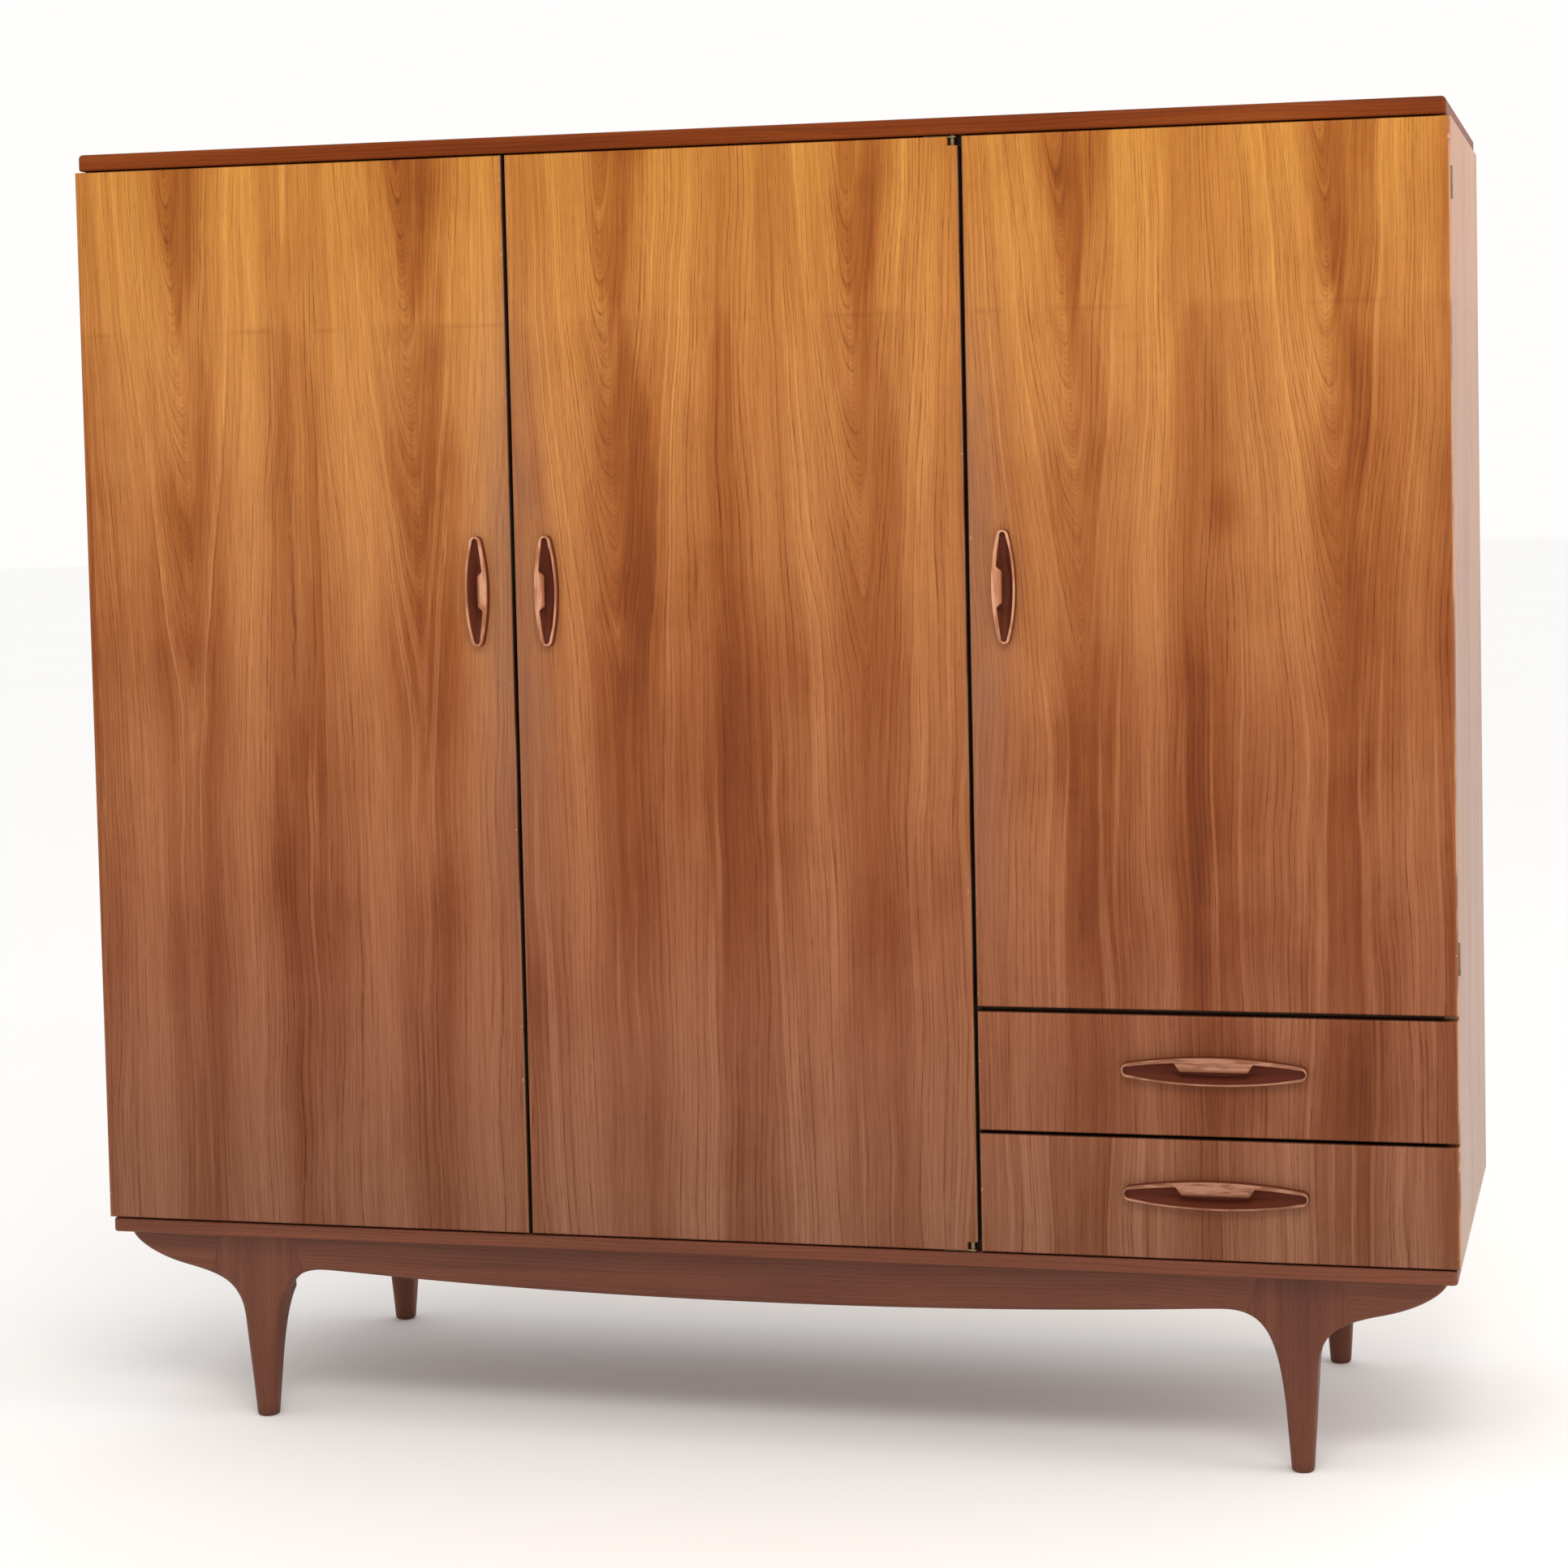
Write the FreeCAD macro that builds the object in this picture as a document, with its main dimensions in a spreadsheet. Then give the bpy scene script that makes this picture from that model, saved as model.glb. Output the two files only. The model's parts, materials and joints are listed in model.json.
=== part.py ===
"""A three-door teak wardrobe with two drawers, standing on a shaped base frame with four legs.

Millimetres. +X is to the right, +Y to the back, +Z up. The origin is on the floor, under the
middle of the whole, pulls and back screws included. The doors open towards -Y. Every size is a
cell of the sheet Sizes.
"""
import FreeCAD, Part
import Sketcher
import math
import os
import re

SIZES = {
    # the whole
    "overall_width": 1900,
    "overall_depth": 600,
    "opening_height": 1480,
    "base_height": 268,
    "right_column_width": 633,
    # carcass boards
    "top_thickness": 23,
    "bottom_thickness": 19,
    "board_end_inset": 4,
    "board_setback": 1,
    "board_corner": 8,
    "top_round": 6,
    "lower_round": 3,
    "side_thickness": 19,
    "partition_thickness": 19,
    "back_thickness": 5,
    "rebate_width": 10,
    "batten_width": 44,
    "batten_thickness": 18,
    # doors and drawer fronts
    "front_thickness": 20,
    "front_round": 3.5,
    "rest_gap": 3,
    "edge_gap": 2,
    "door_gap": 5,
    "drawer_head_gap": 6,
    "drawer_gap": 4,
    "drawer_front_height": 159.5,
    # carved pulls
    "door_pull_length": 150,
    "door_pull_width": 32,
    "door_pull_end": 8,
    "door_lip_root": 56,
    "door_lip_tip": 40,
    "door_pull_height": 888,
    "door_pull_inset": 50,
    "drawer_pull_length": 244,
    "drawer_pull_width": 37,
    "drawer_pull_end": 9.5,
    "drawer_lip_root": 106,
    "drawer_lip_tip": 84,
    "drawer_pull_raise": 8,
    "pull_proud": 12,
    "pull_seat": 8,
    "pull_wall": 4,
    "pull_floor": 2.5,
    "pull_fit": 0.2,
    "pull_round": 1.2,
    "lip_thickness": 4.5,
    "lip_gap": 14,
    # base frame
    "apron_setback": 28,
    "apron_thickness": 25,
    "apron_end_inset": 19,
    "wing_depth": 51.5,
    "wing_length": 83,
    "wing_radius": 105,
    "wing_tip": 3,
    "shoulder_radius": 92,
    "fillet_radius": 70,
    "shoulder_run": 56,
    "belly_depth": 70,
    "neck_drop": 86,
    "neck_width": 73.5,
    "neck_depth": 46,
    "throat_drop": 122,
    "throat_width": 53,
    "throat_depth": 42,
    "knee_drop": 166,
    "knee_width": 45,
    "knee_depth": 38,
    "foot_width": 30,
    "foot_depth": 30,
    "neck_corner": 5,
    "throat_corner": 8.6,
    "knee_corner": 10.6,
    "foot_corner": 13,
    "leg_inset": 211.5,
    "base_rail_thickness": 25,
    "centre_rail_depth": 52,
    # shelves and hanging rail
    "shelf_thickness": 18,
    "shelf_setback": 30,
    "shelf_side_gap": 1,
    "shelf_back_gap": 3,
    "divider_thickness": 19,
    "hat_shelf_drop": 290,
    "rail_drop": 62,
    "rail_radius": 12.5,
    "rail_wall": 1.5,
    "socket_radius": 21,
    "socket_length": 12,
    "socket_floor": 3,
    "hanger_width": 16,
    "hanger_plate": 3,
    "hanger_foot_length": 44,
    "peg_radius": 2.5,
    "peg_in": 9,
    "peg_out": 8,
    "peg_inset": 60,
    # drawer boxes
    "drawer_back_gap": 75,
    "drawer_side_height": 118,
    "drawer_side_raise": 16,
    "drawer_side_thickness": 14,
    "drawer_side_gap": 1.5,
    "drawer_back_thickness": 12,
    "drawer_back_inset": 8,
    "drawer_back_drop": 6,
    "drawer_bottom_thickness": 4,
    "drawer_bottom_raise": 10,
    "drawer_groove": 5,
    "runner_groove": 7,
    "runner_height": 16,
    "runner_raise": 50,
    "runner_front_gap": 14,
    "runner_back_gap": 88,
    "runner_play": 0.5,
    # butt hinges
    "hinge_height": 42,
    "hinge_leaf_width": 17,
    "hinge_leaf_thickness": 1.2,
    "barrel_radius": 2.5,
    "barrel_clearance": 0.4,
    "notch_play": 1.1,
    "hinge_pin_radius": 1.25,
    "pin_play": 0.05,
    "knuckle_gap": 0.3,
    "hinge_screw_margin": 8,
    "hinge_screw_inset": 10,
    "hinge_low": 50,
    "hinge_high": 62,
    # pivot hinges of the middle door
    "pivot_inset": 8,
    "pivot_setback": 7,
    "pivot_notch_width": 14,
    "pivot_notch_height": 12.5,
    "pivot_barrel_radius": 3.5,
    "pivot_pin_radius": 2,
    "pivot_pin_depth": 10,
    "pivot_arm_length": 44,
    "pivot_arm_width": 10,
    "pivot_arm_thickness": 2,
    "pivot_screw_pitch": 15,
    # catches and screws
    "catch_length": 46,
    "catch_depth": 16,
    "catch_height": 13,
    "catch_inset": 45,
    "catch_play": 0.4,
    "strike_length": 32,
    "strike_height": 9,
    "strike_thickness": 1.5,
    "strike_inset": 1,
    "screw_radius": 1.4,
    "screw_head_radius": 2.4,
    "screw_length": 14,
    "runner_screw_length": 18,
    "runner_screw_sink": 2.5,
    "runner_screw_inset": 40,
    "back_screw_radius": 1.5,
    "back_screw_head": 3.6,
    "back_screw_crown": 2.4,
    "back_screw_dome": 1.6,
    "back_screw_bite": 12,
    "back_screw_inset": 60,
    "batten_screw_margin": 9,
    "partition_screw_margin": 5,
    "base_screw_radius": 2.5,
    "base_screw_head": 5,
    "base_screw_head_height": 4,
    "base_screw_grip": 30,
    "base_screw_bite": 12,
    "base_screw_share": 0.15,
    # what a cutting solid reaches past the face that it opens
    "cut_past": 1,
}

BACK_SCREW_ROWS = 5
LINEN_SHELVES = 3
TOLERANCE = 0.01

doc = FreeCAD.newDocument("Wardrobe")
sheet = doc.addObject("Spreadsheet::Sheet", "Sizes")
for row, (alias, size) in enumerate(SIZES.items(), 1):
    sheet.set(f"A{row}", str(size))
    sheet.setAlias(f"A{row}", alias)
doc.recompute()

nodes = {}


# ---------------------------------------------------------------- expressions and places


def in_sheet(expression):
    """The expression with each size name pointing at its cell."""
    return re.sub(r"[a-z]\w*", lambda m: f"Sizes.{m[0]}" if m[0] in SIZES else m[0], expression)


def bind(thing, prop, expression):
    thing.setExpression(prop, in_sheet(expression))


def number(expression):
    """What an expression is worth with the sheet as it stands."""
    return float(sheet.evalExpression(in_sheet(expression)))


def plus(*terms):
    return " + ".join(f"({term})" for term in terms)


def minus(first, *others):
    return f"({first})" + "".join(f" - ({other})" for other in others)


def span(side, near, far):
    """Low and high X of a stretch from near to far, on the right (side 1) or mirrored (side -1)."""
    return (near, far) if side > 0 else (f"-({far})", f"-({near})")


RIGHT = "overall_width/2"
FRONT = "(pull_proud - back_screw_dome - overall_depth)/2"
BACK = "(pull_proud - back_screw_dome + overall_depth)/2"
FLOOR = "(base_height + bottom_thickness)"
CEILING = "(base_height + bottom_thickness + opening_height)"
FRONT_REAR = plus(FRONT, "front_thickness")
CARCASS_FRONT = plus(FRONT_REAR, "rest_gap")
PANEL_FRONT = minus(BACK, "back_thickness")
LEFT_SEAM = "-right_column_width/2"
RIGHT_SEAM = minus(RIGHT, "right_column_width")
INNER_RIGHT = minus(RIGHT, "side_thickness")
PARTITION_LEFT = minus(RIGHT_SEAM, "partition_thickness/2")
PARTITION_RIGHT = plus(RIGHT_SEAM, "partition_thickness/2")
DRAWERS_TOP = plus(FLOOR, "edge_gap + 2*drawer_front_height + drawer_gap")
DIVIDER_LOW = plus(DRAWERS_TOP, "drawer_head_gap/2 - divider_thickness/2")
DIVIDER_HIGH = plus(DIVIDER_LOW, "divider_thickness")
HAT_SHELF_TOP = minus(CEILING, "hat_shelf_drop")
HAT_SHELF_LOW = minus(HAT_SHELF_TOP, "shelf_thickness")
RAIL_Z = minus(HAT_SHELF_LOW, "rail_drop")
RAIL_Y = minus(f"(({CARCASS_FRONT}) + ({PANEL_FRONT}))/2", "batten_thickness/2")
AXIS_Y = minus(CARCASS_FRONT, "rest_gap/2")
DRAWER_LENGTH = minus(PANEL_FRONT, FRONT_REAR, "drawer_back_gap")
PIVOT_X = minus(RIGHT_SEAM, "door_gap/2", "pivot_inset")
PIVOT_Y = plus(FRONT, "pivot_setback")
LEG_X = minus(RIGHT, "leg_inset")
APRON_FRONT = plus(FRONT, "apron_setback")
SHELF_FRONT = plus(CARCASS_FRONT, "shelf_setback")


# ---------------------------------------------------------------- solids by primitives


def board(label, low, high):
    """A flat board between two opposite corners."""
    box = doc.addObject("Part::Box", label)
    for size, axis, start, end in zip(("Length", "Width", "Height"), "xyz", low, high):
        bind(box, size, minus(end, start))
        bind(box, f"Placement.Base.{axis}", start)
    return box


ALONG = {
    "+x": FreeCAD.Rotation(FreeCAD.Vector(0, 1, 0), 90),
    "-x": FreeCAD.Rotation(FreeCAD.Vector(0, 1, 0), -90),
    "+y": FreeCAD.Rotation(FreeCAD.Vector(1, 0, 0), -90),
    "-y": FreeCAD.Rotation(FreeCAD.Vector(1, 0, 0), 90),
    "+z": FreeCAD.Rotation(),
    "-z": FreeCAD.Rotation(FreeCAD.Vector(1, 0, 0), 180),
}


def place(thing, start, direction="+z"):
    thing.Placement = FreeCAD.Placement(FreeCAD.Vector(), ALONG[direction])
    for axis, where in zip("xyz", start):
        bind(thing, f"Placement.Base.{axis}", where)
    return thing


def rod(start, direction, radius, length):
    """A round bar from a point, running in one of the six directions."""
    bar = doc.addObject("Part::Cylinder", "Rod")
    bind(bar, "Radius", radius)
    bind(bar, "Height", length)
    return place(bar, start, direction)


def cone(start, direction, near_radius, far_radius, length):
    shape = doc.addObject("Part::Cone", "Cone")
    bind(shape, "Radius1", near_radius)
    bind(shape, "Radius2", far_radius)
    bind(shape, "Height", length)
    return place(shape, start, direction)


def joined(things, label="Joined"):
    """One solid, or a set of them, from several."""
    if len(things) == 1:
        return things[0]
    fuse = doc.addObject("Part::MultiFuse", label)
    fuse.Shapes = things
    return fuse


def cut(base, tools, label="Cut"):
    """The base with the tools taken out of it."""
    result = doc.addObject("Part::Cut", label)
    result.Base = base
    result.Tool = joined(tools)
    return result


def group(things, label="Group"):
    """Separate solids of one kind, kept together."""
    compound = doc.addObject("Part::Compound", label)
    compound.Links = things
    return compound


def node(name, thing):
    """Keeps a finished sub-part under its own name."""
    thing.Label = name
    nodes[name] = thing
    return thing


def countersunk(start, direction, head_depth, length):
    """A countersunk wood screw: its head is head_depth deep, from the start point inwards."""
    head = cone(start, direction, "screw_head_radius", "screw_radius", head_depth)
    shank = rod(start, direction, "screw_radius", length)
    return joined([head, shank], "Screw")


# ---------------------------------------------------------------- solids by sketches


def new_body(name):
    return doc.addObject("PartDesign::Body", name)


def sketch_on(body, role, offset="0"):
    """A sketch on one of the body's own origin planes, moved along the plane's normal."""
    plane = next(item for item in body.Origin.OriginFeatures if item.Role == role)
    sketch = body.newObject("Sketcher::SketchObject", "Sketch")
    sketch.AttachmentSupport = [(plane, "")]
    sketch.MapMode = "FlatFace"
    bind(sketch, "AttachmentOffset.Base.z", offset)
    return sketch


def constrain(sketch, kind, *where, size):
    index = sketch.addConstraint(Sketcher.Constraint(kind, *where, number(size)))
    bind(sketch, f"Constraints[{index}]", size)


def arc_between(start, end, radius):
    """The short arc between two points; it bulges to the right of the way for a positive radius."""
    chord = end - start
    middle = (start + end) * 0.5
    rise = abs(radius) - math.sqrt(max(radius * radius - chord.Length**2 / 4, 0))
    aside = FreeCAD.Vector(chord.y, -chord.x, 0).normalize() * math.copysign(rise, radius)
    return Part.Arc(start, middle + aside, end)


def outline(sketch, corners, curved=None):
    """A closed loop through the corners. curved maps a corner's number to the radius of the side
    that starts there."""
    curved = curved or {}
    points = [FreeCAD.Vector(number(x), number(y), 0) for x, y in corners]
    first_ends = []
    for i, start in enumerate(points):
        end = points[(i + 1) % len(points)]
        if i in curved:
            side, radius = curved[i]
            item = sketch.addGeometry(arc_between(start, end, side * number(radius)), False)
            at_start = 1 if (sketch.getPoint(item, 1) - start).Length < 1e-6 else 2
        else:
            item = sketch.addGeometry(Part.LineSegment(start, end), False)
            at_start = 1
        first_ends.append((item, at_start))
    for i, (item, at_start) in enumerate(first_ends):
        after, after_start = first_ends[(i + 1) % len(first_ends)]
        sketch.addConstraint(
            Sketcher.Constraint("Coincident", item, 3 - at_start, after, after_start)
        )
    for (item, at_start), (x, y) in zip(first_ends, corners):
        constrain(sketch, "DistanceX", -1, 1, item, at_start, size=x)
        constrain(sketch, "DistanceY", -1, 1, item, at_start, size=y)
    for i, (_, radius) in curved.items():
        constrain(sketch, "Radius", first_ends[i][0], size=radius)
    return sketch


def rectangle(sketch, low, high):
    (x0, y0), (x1, y1) = low, high
    return outline(sketch, [(x0, y0), (x1, y0), (x1, y1), (x0, y1)])


def oval(sketch, half_length, half_width, end_radius):
    """A long oval of four tangent arcs, centred on the sketch's origin."""
    a, b, r = f"({half_length})", f"({half_width})", f"({end_radius})"
    big = f"((({a} - {r})^2 + {b}^2 - {r}^2)/(2*({b} - {r})))"
    x = f"{big}*({a} - {r})/({big} - {r})"
    y = f"{big}*({big} - {b})/({big} - {r}) - ({big} - {b})"
    corners = [(x, f"-({y})"), (x, y), (f"-({x})", y), (f"-({x})", f"-({y})")]
    return outline(sketch, corners, {0: (1, r), 1: (1, big), 2: (1, r), 3: (1, big)})


def pad(body, sketch, length, backwards=False):
    feature = body.newObject("PartDesign::Pad", "Pad")
    feature.Profile = sketch
    feature.Reversed = backwards
    bind(feature, "Length", length)
    return feature


def pocket(body, sketch, depth, backwards=False):
    feature = body.newObject("PartDesign::Pocket", "Pocket")
    feature.Profile = sketch
    feature.Reversed = backwards
    bind(feature, "Length", depth)
    return feature


def rounded(body, feature, radius, chosen):
    """Rounds the edges of the body's last feature that chosen(edge) picks."""
    doc.recompute()
    edges = [f"Edge{i}" for i, e in enumerate(feature.Shape.Edges, 1) if chosen(e)]
    fillet = body.newObject("PartDesign::Fillet", "Fillet")
    fillet.Base = (feature, edges)
    bind(fillet, "Radius", radius)
    doc.recompute()
    return fillet


def box_of(edge):
    return edge.BoundBox


def turned(body, degrees):
    """The body turned about the Y axis."""
    body.Placement = FreeCAD.Placement(
        FreeCAD.Vector(), FreeCAD.Rotation(FreeCAD.Vector(0, 1, 0), degrees)
    )
    return body


def at_rest(body, x="0", y="0", z="0"):
    for axis, where in zip("xyz", (x, y, z)):
        bind(body, f"Placement.Base.{axis}", where)
    return body


# ---------------------------------------------------------------- carcass


def long_board(name, thickness, low_z, top_round, under_round):
    """A top or bottom board: square at the back, its other edges rounded."""
    body = new_body(name + "_body")
    reach = "(overall_width/2 - board_end_inset)"
    front_y = plus(FRONT, "board_setback")
    slab = pad(
        body,
        rectangle(sketch_on(body, "XY_Plane"), (f"-{reach}", front_y), (reach, BACK)),
        thickness,
    )
    doc.recompute()
    front_y, back_y, thick = number(front_y), number(BACK), number(thickness)
    slab = rounded(
        body, slab, "board_corner",
        lambda e: box_of(e).ZLength > thick / 2 and box_of(e).YMin < (front_y + back_y) / 2,
    )
    slab = rounded(
        body, slab, top_round,
        lambda e: box_of(e).ZMin > thick - TOLERANCE and box_of(e).YMin < back_y - TOLERANCE,
    )
    rounded(
        body, slab, under_round,
        lambda e: box_of(e).ZMax < TOLERANCE and box_of(e).YMin < back_y - TOLERANCE,
    )
    return at_rest(body, z=low_z)


def upright_side(side):
    """A side panel, with a rebate for the back along its rear inner edge."""
    name = "right_side" if side > 0 else "left_side"
    body = new_body(name + "_body")
    sign = "" if side > 0 else "-"
    outer, inner = f"{sign}({RIGHT})", f"{sign}({INNER_RIGHT})"
    rebate = f"{sign}({plus(INNER_RIGHT, 'rebate_width')})"
    corners = [
        (inner, CARCASS_FRONT), (outer, CARCASS_FRONT), (outer, BACK),
        (rebate, BACK), (rebate, PANEL_FRONT), (inner, PANEL_FRONT),
    ]
    pad(body, outline(sketch_on(body, "XY_Plane"), corners), "opening_height")
    return at_rest(body, z=FLOOR)


def back_panels():
    """Three plywood panels: they meet on the batten and on the partition."""
    edge = minus(RIGHT, "side_thickness", "-rebate_width")
    stops = [f"-({edge})", LEFT_SEAM, RIGHT_SEAM, edge]
    names = ("back_panel_left", "back_panel_middle", "back_panel_right")
    return {
        name: board(name, (low, PANEL_FRONT, FLOOR), (high, BACK, CEILING))
        for name, low, high in zip(names, stops, stops[1:])
    }


def back_screw_places():
    """Where the round-headed screws hold the back panels: name of panel, X, Z."""
    side_x = plus(INNER_RIGHT, "rebate_width/2")
    columns = [
        ("back_panel_left", f"-({side_x})", "left_side"),
        ("back_panel_left", minus(LEFT_SEAM, "batten_screw_margin"), "back_batten"),
        ("back_panel_middle", plus(LEFT_SEAM, "batten_screw_margin"), "back_batten"),
        ("back_panel_middle", minus(RIGHT_SEAM, "partition_screw_margin"), "partition"),
        ("back_panel_right", plus(RIGHT_SEAM, "partition_screw_margin"), "partition"),
        ("back_panel_right", side_x, "right_side"),
    ]
    pitch = f"(opening_height - 2*back_screw_inset)/{BACK_SCREW_ROWS - 1}"
    heights = [plus(FLOOR, f"back_screw_inset + {i}*{pitch}") for i in range(BACK_SCREW_ROWS)]
    return [(panel, x, z, behind) for panel, x, behind in columns for z in heights]


# ---------------------------------------------------------------- butt hinges


HINGE_SCREWS = ("hinge_screw_margin", "hinge_height - hinge_screw_margin")
KNUCKLE = "hinge_height/3"


def barrel_notch(side, low_z):
    """The round notch that the barrel needs in a panel's corner."""
    height = "hinge_height + 2*barrel_clearance"
    start = (f"{side}*({RIGHT})", AXIS_Y, minus(low_z, "barrel_clearance"))
    return rod(start, "+z", "barrel_radius + notch_play", height)


def hinge_leaf(side, low_z, on_door):
    """One leaf of a butt hinge: a plate, its knuckles and their arms."""
    root = minus(RIGHT, "barrel_radius", "barrel_clearance")
    plate_x = span(side, minus(RIGHT, "hinge_leaf_width"), root)
    arm_x = span(side, root, RIGHT)
    if on_door:
        plate_y = (FRONT_REAR, plus(FRONT_REAR, "hinge_leaf_thickness"))
        knuckles = [(plus(low_z, KNUCKLE, "knuckle_gap"), f"{KNUCKLE} - 2*knuckle_gap")]
        bore = "hinge_pin_radius + pin_play"
    else:
        plate_y = (minus(CARCASS_FRONT, "hinge_leaf_thickness"), CARCASS_FRONT)
        knuckles = [(low_z, KNUCKLE), (plus(low_z, f"2*{KNUCKLE}"), KNUCKLE)]
        bore = "hinge_pin_radius"
    high_z = plus(low_z, "hinge_height")
    pieces = [board("Leaf", (plate_x[0], plate_y[0], low_z), (plate_x[1], plate_y[1], high_z))]
    axis_x = f"{side}*({RIGHT})"
    for start, height in knuckles:
        end = plus(start, height)
        pieces.append(board("Arm", (arm_x[0], plate_y[0], start), (arm_x[1], plate_y[1], end)))
        pieces.append(rod((axis_x, AXIS_Y, start), "+z", "barrel_radius", height))
    tools = [rod((axis_x, AXIS_Y, low_z), "+z", bore, "hinge_height")]
    tools += hinge_screws(side, low_z, on_door)
    return cut(joined(pieces), tools, "Leaf")


def hinge_screws(side, low_z, on_door):
    """The two countersunk screws of a leaf."""
    x = f"{side}*({minus(RIGHT, 'hinge_screw_inset')})"
    if on_door:
        y, direction = plus(FRONT_REAR, "hinge_leaf_thickness"), "-y"
    else:
        y, direction = minus(CARCASS_FRONT, "hinge_leaf_thickness"), "+y"
    return [
        countersunk((x, y, plus(low_z, up)), direction, "hinge_leaf_thickness", "screw_length")
        for up in HINGE_SCREWS
    ]


def hinge_pin(side, low_z):
    return rod((f"{side}*({RIGHT})", AXIS_Y, low_z), "+z", "hinge_pin_radius", "hinge_height")


# ---------------------------------------------------------------- pulls


def carved_pull(name, kind, turn, x, y, z):
    """An oval cup pull carved from solid wood, let into the front, with a finger lip over the cup.
    The lip is on the upper side before the pull is turned about Y."""
    half_length, half_width = f"{kind}_pull_length/2", f"{kind}_pull_width/2"
    end = f"{kind}_pull_end"
    front = "pull_seat + pull_proud"
    body = new_body(name + "_body")
    pad(body, oval(sketch_on(body, "XZ_Plane"), half_length, half_width, end), front)
    hollow = oval(
        sketch_on(body, "XZ_Plane", front),
        minus(half_length, "pull_wall"), minus(half_width, "pull_wall"), minus(end, "pull_wall"),
    )
    pocket(body, hollow, minus(front, "pull_floor"))
    root_z = minus(half_width, "pull_wall*3/4")
    tip_z = minus("lip_gap", half_width, "-pull_wall")
    corners = [
        (f"-{kind}_lip_root/2", root_z), (f"-{kind}_lip_tip/2", tip_z),
        (f"{kind}_lip_tip/2", tip_z), (f"{kind}_lip_root/2", root_z),
    ]
    lip = pad(body, outline(sketch_on(body, "XZ_Plane", front), corners), "lip_thickness", True)
    doc.recompute()
    face_y = -number(front)
    rounded(
        body, lip, "pull_round",
        lambda e: box_of(e).YMax < face_y + TOLERANCE
        and on_outer_rim(e, number(half_length), number(half_width)),
    )
    turned(body, turn)
    return at_rest(body, x, plus(y, "pull_seat"), z)


def on_outer_rim(edge, half_length, half_width):
    """Whether an edge belongs to the outer oval, which alone reaches the pull's full size."""
    box = box_of(edge)
    wide = max(abs(box.XMin), abs(box.XMax)) > half_length - TOLERANCE
    high = max(abs(box.ZMin), abs(box.ZMax)) > half_width - TOLERANCE
    return wide or high


def front_panel(name, low_x, high_x, low_z, high_z, kind, turn, pull_x, pull_z):
    """A door or drawer front: rounded front edges and a blind seat for its pull."""
    body = new_body(name + "_body")
    slab = pad(
        body,
        rectangle(sketch_on(body, "XZ_Plane"), (low_x, low_z), (high_x, high_z)),
        "front_thickness",
    )
    doc.recompute()
    face_y = -number("front_thickness")
    rounded(body, slab, "front_round", lambda e: box_of(e).YMax < face_y + TOLERANCE)
    at_rest(body, y=FRONT_REAR)
    seat = new_body(name + "_seat")
    pad(
        seat,
        oval(
            sketch_on(seat, "XZ_Plane"),
            plus(f"{kind}_pull_length/2", "pull_fit"),
            plus(f"{kind}_pull_width/2", "pull_fit"),
            plus(f"{kind}_pull_end", "pull_fit"),
        ),
        "pull_seat + cut_past",
    )
    turned(seat, turn)
    at_rest(seat, pull_x, plus(FRONT, "pull_seat"), pull_z)
    return body, seat


def hung_door(name, side, low_x, high_x, low_z, turn, pull_x, hinge_places):
    """A door on butt hinges at its outer edge, with its pull, and its leaves and their screws."""
    high_z = minus(CEILING, "edge_gap")
    pull_z = plus(FLOOR, "door_pull_height")
    body, seat = front_panel(name, low_x, high_x, low_z, high_z, "door", turn, pull_x, pull_z)
    screws = [screw for z in hinge_places for screw in hinge_screws(side, z, True)]
    notches = [barrel_notch(side, z) for z in hinge_places]
    node(f"{name}_door_panel", cut(body, [seat] + notches + screws))
    node(f"{name}_door_pull", carved_pull(name, "door", turn, pull_x, FRONT, pull_z))
    node(f"{name}_door_hinge_leaves", group([hinge_leaf(side, z, True) for z in hinge_places]))
    node(f"{name}_door_hinge_screws", group(screws))


def strike(name, x):
    """The steel plate on the back of a door that its catch holds."""
    high_z = minus(CEILING, "edge_gap", "strike_inset")
    low = (minus(x, "strike_length/2"), FRONT_REAR, minus(high_z, "strike_height"))
    high = (plus(x, "strike_length/2"), plus(FRONT_REAR, "strike_thickness"), high_z)
    node(f"{name}_strike_plate", board("Strike", low, high))


def catch(x):
    """A magnetic catch under the top board, just behind a door."""
    front_y = plus(FRONT_REAR, "strike_thickness", "catch_play")
    low = (minus(x, "catch_length/2"), front_y, minus(CEILING, "catch_height"))
    high = (plus(x, "catch_length/2"), plus(front_y, "catch_depth"), CEILING)
    return board("Catch", low, high)


# ---------------------------------------------------------------- pivot hinges


def band(up, edge_z, near, far):
    """Low and high Z of a layer between two depths from the door's top (up 1) or bottom edge."""
    if up > 0:
        return minus(edge_z, far), minus(edge_z, near)
    return plus(edge_z, near), plus(edge_z, far)


def pivot_arm_screws(up, edge_z):
    inwards = "-z" if up > 0 else "+z"
    places = [minus(PIVOT_X, f"{i}*pivot_screw_pitch") for i in (1, 2)]
    return [
        countersunk((x, PIVOT_Y, edge_z), inwards, "pivot_arm_thickness", "screw_length")
        for x in places
    ]


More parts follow.
